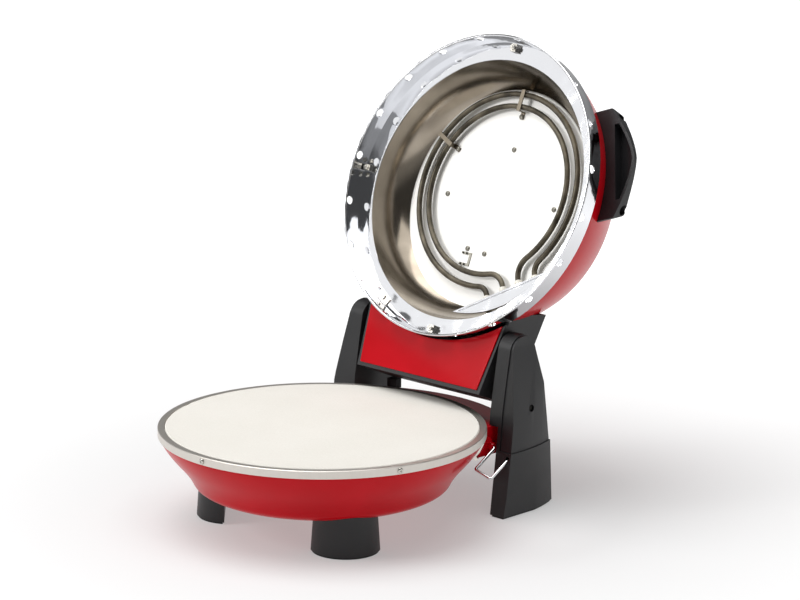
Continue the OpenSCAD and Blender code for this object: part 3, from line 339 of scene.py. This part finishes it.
def end_tree(tree, geometry, finish, smooth=True):
    """Realizes, merges what meets, shades and paints what a tree made."""
    real = put(tree, "GeometryNodeRealizeInstances", {0: geometry})
    merged = put(tree, "GeometryNodeMergeByDistance", {0: real.outputs[0], "Distance": 0.002 * MM})
    shaded = put(tree, "GeometryNodeSetShadeSmooth", {0: merged.outputs[0], "Shade Smooth": smooth})
    painted = put(tree, "GeometryNodeSetMaterial", {0: shaded.outputs[0], "Material": finish})
    put(tree, "NodeGroupOutput", {0: painted.outputs[0]})
    return tree


print("a tree's inputs can be", [kind.__name__ for kind in SOCKETS])


# %% Grow a piece
def grown(name, points, edges, tree, values, place=None, crease=None):
    """Runs a tree on points in millimetres and keeps the result as a plain mesh."""
    seed_mesh = points if isinstance(points, bpy.types.Mesh) else bpy.data.meshes.new(name + "_seed")
    if seed_mesh is not points:
        seed_mesh.from_pydata([tuple(v * MM for v in p) for p in points], edges, [])
    seed = bpy.data.objects.new(name + "_seed", seed_mesh)
    bpy.context.scene.collection.objects.link(seed)
    rule = seed.modifiers.new("rule", "NODES")
    rule.node_group = tree
    for item in tree.interface.items_tree:
        if item.in_out == "INPUT" and item.name in values:
            rule[item.identifier] = values[item.name]
    depsgraph = bpy.context.evaluated_depsgraph_get()
    mesh = bpy.data.meshes.new_from_object(seed.evaluated_get(depsgraph), depsgraph=depsgraph)
    bpy.data.objects.remove(seed)
    if place:
        mesh.transform(place)
    work = bmesh.new()
    work.from_mesh(mesh)
    bmesh.ops.recalc_face_normals(work, faces=work.faces)
    if crease:
        for rim in work.edges:
            rim.smooth = not (rim.is_manifold and rim.calc_face_angle(0) > math.radians(crease))
    work.to_mesh(mesh)
    work.free()
    piece = bpy.data.objects.new(name, mesh)
    bpy.context.scene.collection.objects.link(piece)
    print(name, len(mesh.polygons), "faces", [round(v / MM, 1) for v in piece.dimensions])
    return piece


def chain(count, closed=False):
    """Edges that join points in a row."""
    return [(i, (i + 1) % count) for i in range(count if closed else count - 1)]


def note(mesh, columns):
    """Writes vectors on a mesh's points, a row of them under each name."""
    for name, rows in columns.items():
        flat = np.array(rows, np.float32).ravel()
        mesh.attributes.new(name, "FLOAT_VECTOR", "POINT").data.foreach_set("vector", flat)


print("a closed row of three points has the edges", chain(3, closed=True))

# %% [markdown]
# ## Where the lid is
# The lid's own frame has its zero on the polished ring, Z towards the stone and Y
# to the lid's front. Four moves turn it about the hinge to the open lid. Lengths
# are in millimetres and the lid's angle is in degrees.

# %% Places
STONE_Y = -87.8614
HINGE_BACK, HINGE_H, CLOSED_H, OPEN = 171.2, 141.5, 120.1, 113.5


def move(x, y, z):
    """A shift in millimetres."""
    return Matrix.Translation((x * MM, y * MM, z * MM))


STAND = move(0, STONE_Y, 0)
LID = (move(0, STONE_Y + HINGE_BACK, HINGE_H) @ Matrix.Rotation(math.radians(-OPEN), 4, "X")
       @ move(0, -HINGE_BACK, CLOSED_H - HINGE_H) @ Matrix.Rotation(math.pi, 4, "X"))
print("the ring's middle is at", [round(v, 4) for v in LID.translation])

# %% [markdown]
# ## Dome
# The dome is spun aluminium, round about the lid's axis. Its outline is the same as
# in the solid, in finer steps, so that gloss runs over it without facets. The tree
# turns a plain row of points into the shell.


# %% Spun shells
def spun_shell_tree():
    tree, given = begin_tree("spun shell", Steps=int, Finish=bpy.types.Material)
    outline = put(tree, "GeometryNodeMeshToCurve", {0: given["Geometry"]})
    turn = put(tree, "GeometryNodeCurvePrimitiveCircle", {"Resolution": given["Steps"], "Radius": 1.0})
    wall = put(tree, "GeometryNodeCurveToMesh",
               {"Curve": turn.outputs[0], "Profile Curve": outline.outputs[0]})
    return end_tree(tree, wall.outputs[0], given["Finish"])


SPUN = spun_shell_tree()


def spun(name, outline, finish, place, closed=False, steps=192):
    """A shell from its outline of (radius, height) points in millimetres."""
    points = [(r - 1000, -z, 0) for r, z in outline]
    values = {"Steps": steps, "Finish": finish}
    return grown(name, points, chain(len(points), closed), SPUN, values, place, crease=32)


def bend(a, b, c, count):
    """Points of a smooth bend from a to c that leans towards b."""
    rows = []
    for i in range(count + 1):
        t = i / count
        rows.append(tuple((1 - t) ** 2 * p + 2 * t * (1 - t) * q + t * t * r for p, q, r in zip(a, b, c)))
    return rows


print("spun shells from", len(SPUN.nodes), "nodes")

# %% Dome
SHEET = 1.0
DOME_R, DOME_TOP_R, DOME_H, CROWN = 155.6, 122.6, 73.0, 11.0


def dome_line(wall):
    """The dome's outline from its lower edge to the crown, moved in by a wall."""
    side = bend((DOME_R - wall, 0), (DOME_R - 8.58 - wall, -DOME_H * 0.47),
                (DOME_TOP_R - wall * 0.8, -DOME_H + wall * 0.5), 20)
    turn = bend(side[-1], (DOME_TOP_R - 3 - wall * 0.6, -DOME_H - 6 + wall),
                (DOME_TOP_R - 13, -DOME_H - 7.5 + wall), 8)
    crown = bend((DOME_TOP_R * 0.7, -DOME_H - CROWN + 1 + wall), (DOME_TOP_R * 0.4, -DOME_H - CROWN + wall),
                 (0, -DOME_H - CROWN + wall), 8)
    return [(r, z - SHEET) for r, z in side + turn[1:] + crown]


dome = spun("dome_shell", dome_line(2)[::-1] + dome_line(0), FINISHES["red_enamel"], LID)
keep(dome, "lid", "red_enamel", "dome")

# %% [markdown]
# ## The bowl's two faces
# The bowl's wall is drawn steel, shiny enough to show streaks, and painted a darker
# brownish grey than the plate: that darker tone is painted shade, and its blotches are
# heat tint. Its flat plate is a dull sheet painted near white, a painted glare. The
# height over the plate, measured along the lid's axis, tells the two apart.

# %% Bowl steel
RING_R, PLATE_R, BOWL_DEPTH = 137.5, 115.0, 39.0


def bowl_steel(axis, zero, depth):
    """axis is the lid's axis, zero the ring's height along it, depth the plate's depth, all in metres."""
    finish, tree, skin, at = begin("drawn steel bowl", Metallic=1.0)
    along = put(tree, "ShaderNodeVectorMath", {0: at, 1: tuple(axis)}, operation="DOT_PRODUCT")
    plate = zero - depth
    # The plate is painted near white, a painted glare; this mask picks it by height.
    down = put(tree, "ShaderNodeMapRange",
               {0: along.outputs["Value"], 1: plate + 1.2 * MM, 2: plate + 0.6 * MM, 3: 0.0, 4: 1.0})
    heat = put(tree, "ShaderNodeTexNoise", {"Vector": at, "Scale": per_mm(45), "Detail": 3.0})
    wave = put(tree, "ShaderNodeTexNoise", {"Vector": at, "Scale": per_mm(70), "Detail": 1.0})
    # The wall's darker brownish grey is painted shade; the blotches between its two tones are heat tint.
    brown = two_tone(tree, heat.outputs[0], "#7d7468", "#9c9386", 0.3, 0.7)
    tint = put(tree, "ShaderNodeMix", {0: down.outputs[0], 6: brown, 7: colour("#fbfaf7")}, data_type="RGBA")
    dull = put(tree, "ShaderNodeMapRange", {0: down.outputs[0], 3: 0.17, 4: 0.68})
    tree.links.new(tint.outputs[2], skin.inputs["Base Color"])
    tree.links.new(dull.outputs[0], skin.inputs["Roughness"])
    bumps(tree, skin, (wave.outputs[0], 0.8), (heat.outputs[0], 0.05))
    return finish


axis = LID.to_3x3() @ Vector((0, 0, 1))
BOWL_STEEL = bowl_steel(axis, axis.dot(LID.translation), BOWL_DEPTH * MM)
print("the lid's axis points", [round(v, 3) for v in axis])

# %% Bowl
wall = bend((RING_R, -SHEET), (RING_R - 6.3, -BOWL_DEPTH * 0.75), (PLATE_R, -BOWL_DEPTH), 16)
outer = [(r + SHEET, z - (SHEET if i == len(wall) - 1 else 0)) for i, (r, z) in enumerate(wall)]
bowl = spun("bowl_shell", [(0, -BOWL_DEPTH)] + wall[::-1] + outer + [(0, -BOWL_DEPTH - SHEET)],
            BOWL_STEEL, LID)
keep(bowl, "lid", "brushed_steel", "bowl")

# %% [markdown]
# ## Heaters
# A tubular heater is one straight tube bent round formers, so its path is arcs and
# straight ends. The tree carries a small circle along that path.


# %% Tubes
def tube_tree():
    tree, given = begin_tree("tube along a path", Radius=float, Sides=int, Finish=bpy.types.Material)
    path = put(tree, "GeometryNodeMeshToCurve", {0: given["Geometry"]})
    ring = put(tree, "GeometryNodeCurvePrimitiveCircle",
               {"Resolution": given["Sides"], "Radius": given["Radius"]})
    wall = put(tree, "GeometryNodeCurveToMesh",
               {"Curve": path.outputs[0], "Profile Curve": ring.outputs[0], "Fill Caps": True})
    return end_tree(tree, wall.outputs[0], given["Finish"])


TUBE = tube_tree()


def tube(name, path, radius, finish, place):
    """A tube of a radius along a path, both in millimetres."""
    values = {"Radius": radius * MM, "Sides": 16, "Finish": finish}
    return grown(name, path, chain(len(path)), TUBE, values, place)


print("tubes from", len(TUBE.nodes), "nodes")


# %% A heater's path
def arc(cx, cy, radius, start, stop, count):
    """Points along an arc from one angle to another, in radians."""
    return [(cx + radius * math.cos(t), cy + radius * math.sin(t), 0)
            for t in (start + (stop - start) * i / count for i in range(count + 1))]


def loop_path(radius, turn, gap, tail):
    """Most of a circle, two bends the other way and two straight ends along +X."""
    leave = math.asin((gap + turn) / (radius + turn))
    x = (radius + turn) * math.cos(leave)
    upper = arc(x, gap + turn, turn, math.radians(270), math.pi + leave, 12)
    round_ = arc(0, 0, radius, leave, 2 * math.pi - leave, 120)
    lower = [(p[0], -p[1], 0) for p in upper[::-1]]
    return [(x + tail, gap, 0)] + upper + round_[1:-1] + lower + [(x + tail, -gap, 0)]


print("a loop of 90 mm has", len(loop_path(90, 20, 10, 24)), "points")

# %% Heaters
TUBE_R = 2.9
HEATERS = LID @ move(0, 8, 6 - BOWL_DEPTH) @ Matrix.Rotation(math.radians(-60), 4, "Z")
LOOPS = {"inner_heater": (89.7, 20, 10, 24), "outer_heater": (102.7, 14, 31, 20)}
for node, loop in LOOPS.items():
    heater = tube(node + "_tube", loop_path(*loop), TUBE_R, FINISHES["heater_sheath"], HEATERS)
    keep(heater, "lid", "heater_sheath", node)
BASE_HEATER = STAND @ move(0, 0, 72.4) @ Matrix.Rotation(math.pi / 2, 4, "Z")
heater = tube("lower_heater_tube", loop_path(100, 20, 20, 42), TUBE_R, FINISHES["heater_sheath"], BASE_HEATER)
keep(heater, "base", "heater_sheath", "lower_heater")

# %% [markdown]
# ## Bails
# A bail is a chromed wire bent square, which hooks over the keeper on the tail. It
# is a tube too. The left one is the right one mirrored, so its faces are turned
# out again after the mirror.


# %% Bails
def bail_path():
    """Stub, arm, crossbar, arm and stub of a bail, with corners bent round a 2.4 mm former."""
    near, far, arm, corner = 4.6, 24.0, 32.5, 2.4
    stops = [(0.5, 0), (near, 0), (near, -arm), (far, -arm), (far, 0), (far + 5, 0)]
    path = [stops[0]]
    for before, here, after in zip(stops, stops[1:], stops[2:]):
        a, b, c = (Vector(p) for p in (before, here, after))
        start, stop = b + (a - b).normalized() * corner, b + (c - b).normalized() * corner
        path += bend(tuple(start), tuple(b), tuple(stop), 6)
    return [(x, y, 0) for x, y in path + [stops[-1]]]


BAIL = (STAND @ move(99, 140.2, 70.5) @ Matrix.Rotation(math.radians(12), 4, "Z")
        @ Matrix.Rotation(math.radians(22), 4, "Y") @ Matrix.Rotation(math.radians(34), 4, "X"))
MIRROR = Matrix.Diagonal((-1, 1, 1, 1))
WIRE_R = 1.6
for node, body, place in (("bail_right", "bail_r", BAIL), ("bail_left", "bail_l", MIRROR @ BAIL)):
    bail = tube(node + "_wire", bail_path(), WIRE_R, FINISHES["chrome_wire"], place)
    keep(bail, body, "chrome_wire", node)

# %% [markdown]
# ## Screws
# Every screw here is a small pan-head screw with a cross recess. One head is
# modelled with care, one shank is a plain rod, and the tree puts both wherever
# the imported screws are. The places come from the frame itself: each loose lump of
# a screw part is one screw, its axis is the odd one of its three spreads, and its
# head is at the wider end.


# %% The screw's head
HEAD_H = 0.6


def screw_head():
    """A pan head of radius 1 and height HEAD_H with a cross recess."""
    work = bmesh.new()
    bands = [(0.001, HEAD_H), (0.45, 0.585), (0.8, 0.5), (0.95, 0.38), (1.0, 0.24), (1.0, 0.0), (0.001, 0.0)]
    count = 24
    rings = [[work.verts.new((r * math.cos(t), r * math.sin(t), z))
              for t in (2 * math.pi * i / count for i in range(count))] for r, z in bands]
    for low_ring, high_ring in zip(rings, rings[1:]):
        for i in range(count):
            j = (i + 1) % count
            work.faces.new((low_ring[i], low_ring[j], high_ring[j], high_ring[i]))
    bmesh.ops.remove_doubles(work, verts=work.verts, dist=0.01)
    bmesh.ops.recalc_face_normals(work, faces=work.faces)
    mesh = bpy.data.meshes.new("screw_head")
    work.to_mesh(mesh)
    work.free()
    head = bpy.data.objects.new("screw_head", mesh)
    bpy.context.scene.collection.objects.link(head)
    cutters = []
    for turn in (0, 90):
        bar = bmesh.new()
        bmesh.ops.create_cube(bar, size=1.0, matrix=Matrix.Rotation(math.radians(turn), 4, "Z")
                              @ Matrix.Translation((0, 0, 0.55)) @ Matrix.Diagonal((1.15, 0.2, 0.62, 1)))
        for vert in bar.verts:
            if vert.co.z < 0.5:
                vert.co.x *= 0.55
                vert.co.y *= 0.55
        bar_mesh = bpy.data.meshes.new("recess")
        bar.to_mesh(bar_mesh)
        bar.free()
        cutter = bpy.data.objects.new("recess", bar_mesh)
        bpy.context.scene.collection.objects.link(cutter)
        cut = head.modifiers.new("recess", "BOOLEAN")
        cut.object, cut.operation, cut.solver = cutter, "DIFFERENCE", "EXACT"
        cutters.append(cutter)
    depsgraph = bpy.context.evaluated_depsgraph_get()
    done = bpy.data.meshes.new_from_object(head.evaluated_get(depsgraph), depsgraph=depsgraph)
    for thing in (head, *cutters):
        bpy.data.objects.remove(thing)
    return bpy.data.objects.new("screw_head", done)


HEAD = screw_head()
print("one head has", len(HEAD.data.polygons), "faces")


# %% The screw's shank and tree
def screw_shank():
    """A rod of radius 1 that reaches one down from the head's underside."""
    work = bmesh.new()
    bmesh.ops.create_cone(work, cap_ends=True, segments=16, radius1=1, radius2=1, depth=1,
                          matrix=Matrix.Translation((0, 0, -0.5)))
    mesh = bpy.data.meshes.new("screw_shank")
    work.to_mesh(mesh)
    work.free()
    return bpy.data.objects.new("screw_shank", mesh)


def screw_tree():
    """Each point carries its screw's direction, head size, shank size and length."""
    tree, given = begin_tree("screws on points", Head=bpy.types.Object, Shank=bpy.types.Object,
                             Finish=bpy.types.Material)
    points = put(tree, "GeometryNodeMeshToPoints", {0: given["Geometry"]})
    out = put(tree, "GeometryNodeInputNamedAttribute", {"Name": "out"}, data_type="FLOAT_VECTOR")
    facing = put(tree, "FunctionNodeAlignRotationToVector", {"Vector": out.outputs[0]}, axis="Z")
    made = []
    for part, size in (("Head", "head_size"), ("Shank", "shank_size")):
        shape = put(tree, "GeometryNodeObjectInfo", {"Object": given[part]})
        scale = put(tree, "GeometryNodeInputNamedAttribute", {"Name": size}, data_type="FLOAT_VECTOR")
        made.append(put(tree, "GeometryNodeInstanceOnPoints", {
            "Points": points.outputs[0], "Instance": shape.outputs["Geometry"],
            "Rotation": facing.outputs[0], "Scale": scale.outputs[0]}))
    both = put(tree, "GeometryNodeJoinGeometry", {0: made[0].outputs[0]})
    tree.links.new(made[1].outputs[0], both.inputs[0])
    return end_tree(tree, both.outputs[0], given["Finish"])


SHANK, SCREWS = screw_shank(), screw_tree()
print("screws from", len(SCREWS.nodes), "nodes")


# %% Where the screws are
def lumps(node):
    """The loose lumps of a part as arrays of their points."""
    work = bmesh.new()
    work.from_mesh(frame["nodes"][node].data)
    bmesh.ops.remove_doubles(work, verts=work.verts, dist=0.005 * MM)
    left, found = set(work.verts), []
    while left:
        waiting, lump = [left.pop()], []
        while waiting:
            here = waiting.pop()
            lump.append(tuple(here.co))
            for rim in here.link_edges:
                other = rim.other_vert(here)
                if other in left:
                    left.remove(other)
                    waiting.append(other)
        found.append(np.array(sorted(lump)))
    work.free()
    return found


def screw_facts(lump):
    """Where a screw's head sits and which way it faces, then the radius and height of its head, and the
    radius and length of its shank."""
    middle = lump.mean(0)
    spreads, axes = np.linalg.eigh(np.cov((lump - middle).T))
    odd = 0 if abs(spreads[1] - spreads[0]) > abs(spreads[2] - spreads[1]) else 2
    axis = axes[:, odd]
    along = (lump - middle) @ axis
    across = np.linalg.norm((lump - middle) - np.outer(along, axis), axis=1)
    part = 0.2 * np.ptp(along)
    if across[along > along.max() - part].max() < across[along < along.min() + part].max():
        axis, along = -axis, -along
    head_r = across.max()
    under = along[across > head_r * 0.98].min()
    shank_r = across[along < along.min() + 0.05 * MM].max()
    centre = middle + axis * under
    return centre, axis, head_r, along.max() - under, shank_r, under - along.min()


print(len(lumps("rim_screws")), "screws in the rim")


# %% Screws on their places
def driven(node):
    """Fine screws in the place of a part's plain ones."""
    facts = [screw_facts(lump) for lump in sorted(lumps(node), key=lambda p: tuple(p.mean(0).round(4)))]
    mesh = bpy.data.meshes.new(node + "_places")
    mesh.from_pydata([tuple(f[0]) for f in facts], [], [])
    columns = {"out": [f[1] for f in facts], "head_size": [(f[2], f[2], f[3] / HEAD_H) for f in facts],
               "shank_size": [(f[4], f[4], f[5]) for f in facts]}
    note(mesh, columns)
    finish = FINISHES[{"cover_screws": "dark_screws", "bowl_screws": "dull_steel"}.get(node, SLOT_OF[node])]
    values = {"Head": HEAD, "Shank": SHANK, "Finish": finish}
    piece = grown(node + "_set", mesh, [], SCREWS, values, crease=35)
    return keep(piece, BODY_OF[node], SLOT_OF[node], node)


for node in ("rim_screws", "bowl_screws", "handle_screws", "cover_screws", "foot_screws", "neck_screws",
             "post_bolts"):
    driven(node)

# %% [markdown]
# ## The dial
# The panel is on the face of the neck that is on top when the lid is down. Ticks
# that grow longer towards hot stand round the knob, the knob has a ribbed edge and
# a pale pointer, and each lamp sits in a thin bright ring. All the bars are one
# eased bar, placed and stretched by a tree that reads a turn and a size per point.


# %% Bars on points
def eased_bar():
    """A bar of one by one by one, centred, with eased edges."""
    work = bmesh.new()
    bmesh.ops.create_cube(work, size=1.0)
    bmesh.ops.bevel(work, geom=work.edges, offset=0.12, segments=2, affect="EDGES", profile=0.5)
    mesh = bpy.data.meshes.new("eased_bar")
    work.to_mesh(mesh)
    work.free()
    return bpy.data.objects.new("eased_bar", mesh)


def bar_tree():
    tree, given = begin_tree("bars on points", Bar=bpy.types.Object, Finish=bpy.types.Material)
    points = put(tree, "GeometryNodeMeshToPoints", {0: given["Geometry"]})
    turn, size = (put(tree, "GeometryNodeInputNamedAttribute", {"Name": name},
                      data_type="FLOAT_VECTOR").outputs[0] for name in ("turn", "size"))
    shape = put(tree, "GeometryNodeObjectInfo", {"Object": given["Bar"]})
    placed = put(tree, "GeometryNodeInstanceOnPoints", {
        "Points": points.outputs[0], "Instance": shape.outputs["Geometry"], "Rotation": turn, "Scale": size})
    return end_tree(tree, placed.outputs[0], given["Finish"], smooth=False)


BAR, BARS = eased_bar(), bar_tree()


def bars(name, rows, finish, place):
    """rows are (place, turn about Z in degrees, size), in millimetres."""
    mesh = bpy.data.meshes.new(name + "_places")
    mesh.from_pydata([tuple(v * MM for v in at) for at, _, _ in rows], [], [])
    columns = {"turn": [(0, 0, math.radians(turn)) for _, turn, _ in rows],
               "size": [tuple(v * MM for v in size) for _, _, size in rows]}
    note(mesh, columns)
    return grown(name, mesh, [], BARS, {"Bar": BAR, "Finish": finish}, place)


print("one bar has", len(BAR.data.polygons), "faces")

# %% Ticks round the dial
KNOB_X, KNOB_R, KNOB_H, PANEL_Y, PANEL_Z = 34.0, 17.0, 15.0, -174.2, -52.0
DIAL = LID @ move(KNOB_X, PANEL_Y, PANEL_Z)
TICKS, FIRST_TURN, TICK_TURN = 11, 225, 27
ticks = []
for step in range(TICKS):
    turn = FIRST_TURN - TICK_TURN * step
    length = 1.4 + 0.12 * step
    reach = KNOB_R + 1.5 + length / 2
    place = (reach * math.cos(math.radians(turn)), reach * math.sin(math.radians(turn)), -0.02)
    ticks.append((place, turn, (length, 0.7, 0.12)))
keep(bars("dial_ticks", ticks, FINISHES["marking_paint"], DIAL), "lid", "black_plastic")

# %% Knob ribs and pointer
RIBS = 30
ribs = [((KNOB_R * 0.985 * math.cos(a), KNOB_R * 0.985 * math.sin(a), -2.6), math.degrees(a), (0.9, 1.6, 3.0))
        for a in (2 * math.pi * i / RIBS for i in range(RIBS))]
keep(bars("knob_ribs", ribs, FINISHES["black_plastic"], DIAL), "dial", "black_plastic")
mark = [((0, KNOB_R * 0.56, -KNOB_H - 0.55), 0, (1.6, KNOB_R * 0.42, 0.3))]
keep(bars("knob_pointer", mark, FINISHES["marking_paint"], DIAL), "dial", "black_plastic")

# %% Lamp rings
LAMP_R, LAMP_X, LAMP_STEP = 5.0, -26, 22
section = [(LAMP_R + out, -high) for out, high in ((1.1, 0), (2.3, 0), (2.2, 0.5), (1.6, 0.9), (1.1, 0.6))]
for i in (0, 1):
    ring = spun(f"lamp_ring_{i}", section, FINISHES["polished_steel"],
                LID @ move(LAMP_X - LAMP_STEP * i, PANEL_Y, PANEL_Z), closed=True, steps=48)
    keep(ring, "lid", "polished_steel")

# %% [markdown]
# ## The other parts
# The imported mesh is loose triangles. A copy is merged, its flat faces joined, and
# every edge sharper than the angle gets a small bevel, because no moulded or
# pressed edge is razor sharp, and the bevel is what catches the light. It is about
# a millimetre wide on thick mouldings and on the worn edge of the stone, a quarter
# to half a millimetre on most other parts, and a tenth or two on thin sheet.

# %% From solid to piece
FINISH_OF = {"heater_straps": "strap_steel", "probe_clip": "dull_steel", "rim_ring": "rim_steel"}


def formed(node, edge, angle=28, segments=2):
    """A merged copy of a part, bevelled by an edge in millimetres, which stands for it."""
    mesh = frame["nodes"][node].data.copy()
    piece = bpy.data.objects.new(node + "_formed", mesh)
    bpy.context.scene.collection.objects.link(piece)
    work = bmesh.new()
    work.from_mesh(mesh)
    bmesh.ops.remove_doubles(work, verts=work.verts, dist=0.005 * MM)
    bmesh.ops.dissolve_limit(work, angle_limit=math.radians(0.3), verts=work.verts, edges=work.edges)
    for face in work.faces:
        face.smooth = True
    for rim in work.edges:
        rim.smooth = not (rim.is_manifold and rim.calc_face_angle(0) > math.radians(angle))
    work.to_mesh(mesh)
    work.free()
    mesh.materials.clear()
    mesh.materials.append(FINISHES[FINISH_OF.get(node, SLOT_OF[node])])
    bevel = piece.modifiers.new("edge", "BEVEL")
    bevel.width, bevel.segments = edge * MM, segments
    bevel.limit_method, bevel.angle_limit = "ANGLE", math.radians(angle)
    bevel.harden_normals = bevel.use_clamp_overlap = True
    return keep(piece, BODY_OF[node], SLOT_OF[node], node)


print(len(FINISH_OF), "parts take another finish than their slot's")

# %% The other parts
EDGE = {"stone": 1.2, "post_left": 1.0, "post_right": 1.0, "cover_left": 0.8, "cover_right": 0.8,
        "neck_shell": 1.2, "handle_left": 1.2, "handle_right": 1.2, "foot_left": 0.8, "foot_right": 0.8,
        "knob": 0.8, "ring_studs": 0.15, "ring_clips": 0.12, "probe_clip": 0.12, "heater_straps": 0.15,
        "skirt": 0.15, "pan": 0.5, "rim_ring": 0.25, "terminal_shield": 0.15, "control_panel": 0.6,
        "neck_plate": 0.5}
kept_shape = [node for node, part in frame["nodes"].items() if not part.hide_render]
for node in kept_shape:
    formed(node, EDGE.get(node, 0.3))
print(len(kept_shape), "parts keep their solid's shape")

# %% [markdown]
# ## Camera
# The camera was fitted to the ellipses of the stone, the rim and the lid's ring.
# It stands a little over three metres away with a long lens, which keeps the
# perspective flat. Its distance and aim are in metres, its focal length in pixels
# of an image 800 wide.

# %% Camera
AZIMUTH, ELEVATION, ROLL = (math.radians(a) for a in (43.62, 13.50, 0.48))
DISTANCE, AIM_RIGHT, AIM_UP = 3.29188, 0.0758, 0.22773
FOCAL_PX, IMAGE_PX, SENSOR_MM = 3355.23, 800, 36.0
back = Vector((math.sin(AZIMUTH) * math.cos(ELEVATION), -math.cos(AZIMUTH) * math.cos(ELEVATION),
               math.sin(ELEVATION)))
right = Vector((math.cos(AZIMUTH), math.sin(AZIMUTH), 0))
up = back.cross(right)
turned_right = right * math.cos(ROLL) + up * math.sin(ROLL)
turned_up = up * math.cos(ROLL) - right * math.sin(ROLL)
aim = Vector((0, STONE_Y * MM, 0)) + right * AIM_RIGHT + Vector((0, 0, AIM_UP))
turned = Matrix((turned_right, turned_up, back)).transposed().to_4x4()
camera = bpy.data.objects.new("camera", bpy.data.cameras.new("camera"))
camera.matrix_world = Matrix.Translation(aim + back * DISTANCE) @ turned
camera.data.sensor_width = SENSOR_MM
camera.data.lens = SENSOR_MM * FOCAL_PX / IMAGE_PX
camera.data.clip_end = 60
bpy.context.scene.collection.objects.link(camera)
bpy.context.scene.camera = camera
print("a lens of", round(camera.data.lens), "mm")

# %% [markdown]
# ## Floor
# The floor is one plain pale sheet. It glows a little, and more so far out, so that
# it stays white behind the oven. It is grey under that glow, which keeps shadows
# from washing out. Its sizes are in metres.

# %% Floor
paper, tree, skin, at = begin("glowing paper", Roughness=1.0, Specular_IOR_Level=0.0)
skin.inputs["Base Color"].default_value = colour("#b4b4b4")
skin.inputs["Emission Color"].default_value = colour("#ffffff")
NEAR, FAR, NEAR_GLOW, FAR_GLOW, REACH = 0.25, 1.2, 0.36, 0.9, 30
distance = put(tree, "ShaderNodeVectorMath", {0: at}, operation="LENGTH")
glow = put(tree, "ShaderNodeMapRange",
           {0: distance.outputs["Value"], 1: NEAR, 2: FAR, 3: NEAR_GLOW, 4: FAR_GLOW})
tree.links.new(glow.outputs[0], skin.inputs["Emission Strength"])
mesh = bpy.data.meshes.new("floor")
corners = [(x * REACH, y * REACH, 0) for x, y in ((-1, -1), (1, -1), (1, 1), (-1, 1))]
mesh.from_pydata(corners, [], [(0, 1, 2, 3)])
mesh.materials.append(paper)
floor = bpy.data.objects.new("floor", mesh)
bpy.context.scene.collection.objects.link(floor)
print("floor laid,", len(mesh.polygons), "sheet")

# %% [markdown]
# ## Light
# The lid's flat plate mirrors a large soft box at the front left. The polished ring
# beside it mirrors the dimmer panel next to that box, so it stays grey and keeps
# its edge against the white. A wide soft light hangs above, a narrow one at the
# right draws a line on the dome's flank, and a wide, faint sun fills in. The room
# is grey low down and darker above, because bright metal needs something dark to
# mirror. Heights in the room are shares of straight up. Places of lamps are in
# metres, powers in watts.

# %% Room
LOW_UP, HIGH_UP, LOW_GLOW, HIGH_GLOW = 0.1, 0.42, 0.42, 0.09
room = bpy.data.worlds.new("room")
room.use_nodes = True
room.node_tree.nodes.clear()
facing = put(room.node_tree, "ShaderNodeTexCoord").outputs["Generated"]
height = put(room.node_tree, "ShaderNodeSeparateXYZ", {0: facing}).outputs[2]
band = put(room.node_tree, "ShaderNodeMapRange",
           {0: height, 1: LOW_UP, 2: HIGH_UP, 3: LOW_GLOW, 4: HIGH_GLOW}, interpolation_type="SMOOTHSTEP")
sky = put(room.node_tree, "ShaderNodeBackground", {0: colour("#ffffff"), 1: band.outputs[0]})
put(room.node_tree, "ShaderNodeOutputWorld", {0: sky.outputs[0]})
bpy.context.scene.world = room
print("room from", len(room.node_tree.nodes), "nodes")


# %% Lamps
def soft_box(name, place, aim, width, height, watts):
    """An area light that looks at a point."""
    lamp = bpy.data.lights.new(name, "AREA")
    lamp.shape, lamp.size, lamp.size_y, lamp.energy = "RECTANGLE", width, height, watts
    holder = bpy.data.objects.new(name, lamp)
    holder.location = place
    holder.rotation_mode = "QUATERNION"
    holder.rotation_quaternion = (Vector(aim) - Vector(place)).to_track_quat("-Z", "Y")
    bpy.context.scene.collection.objects.link(holder)


soft_box("front left box", (-1.3, -1.952, 1.455), (0.453, -0.248, 0.555), 0.74, 0.85, 21)
soft_box("dim panel", (-1.819, -1.417, 1.455), (-0.066, 0.287, 0.555), 0.75, 0.85, 2.1)
soft_box("top box", (0.1, -0.2, 2.3), (0, 0, 0.1), 2.4, 2.0, 30)
soft_box("right strip", (2.0, 0.35, 0.75), (0.1, 0.1, 0.25), 0.25, 1.2, 1.2)
sun = bpy.data.objects.new("even light", bpy.data.lights.new("even light", "SUN"))
sun.data.energy, sun.data.angle = 1.6, math.radians(50)
sun.rotation_euler = (math.radians(12), math.radians(-14), 0)
bpy.context.scene.collection.objects.link(sun)
bpy.context.scene.view_settings.view_transform = "Standard"
bpy.context.scene.view_settings.look = "None"
print(len(bpy.data.lights), "lamps")
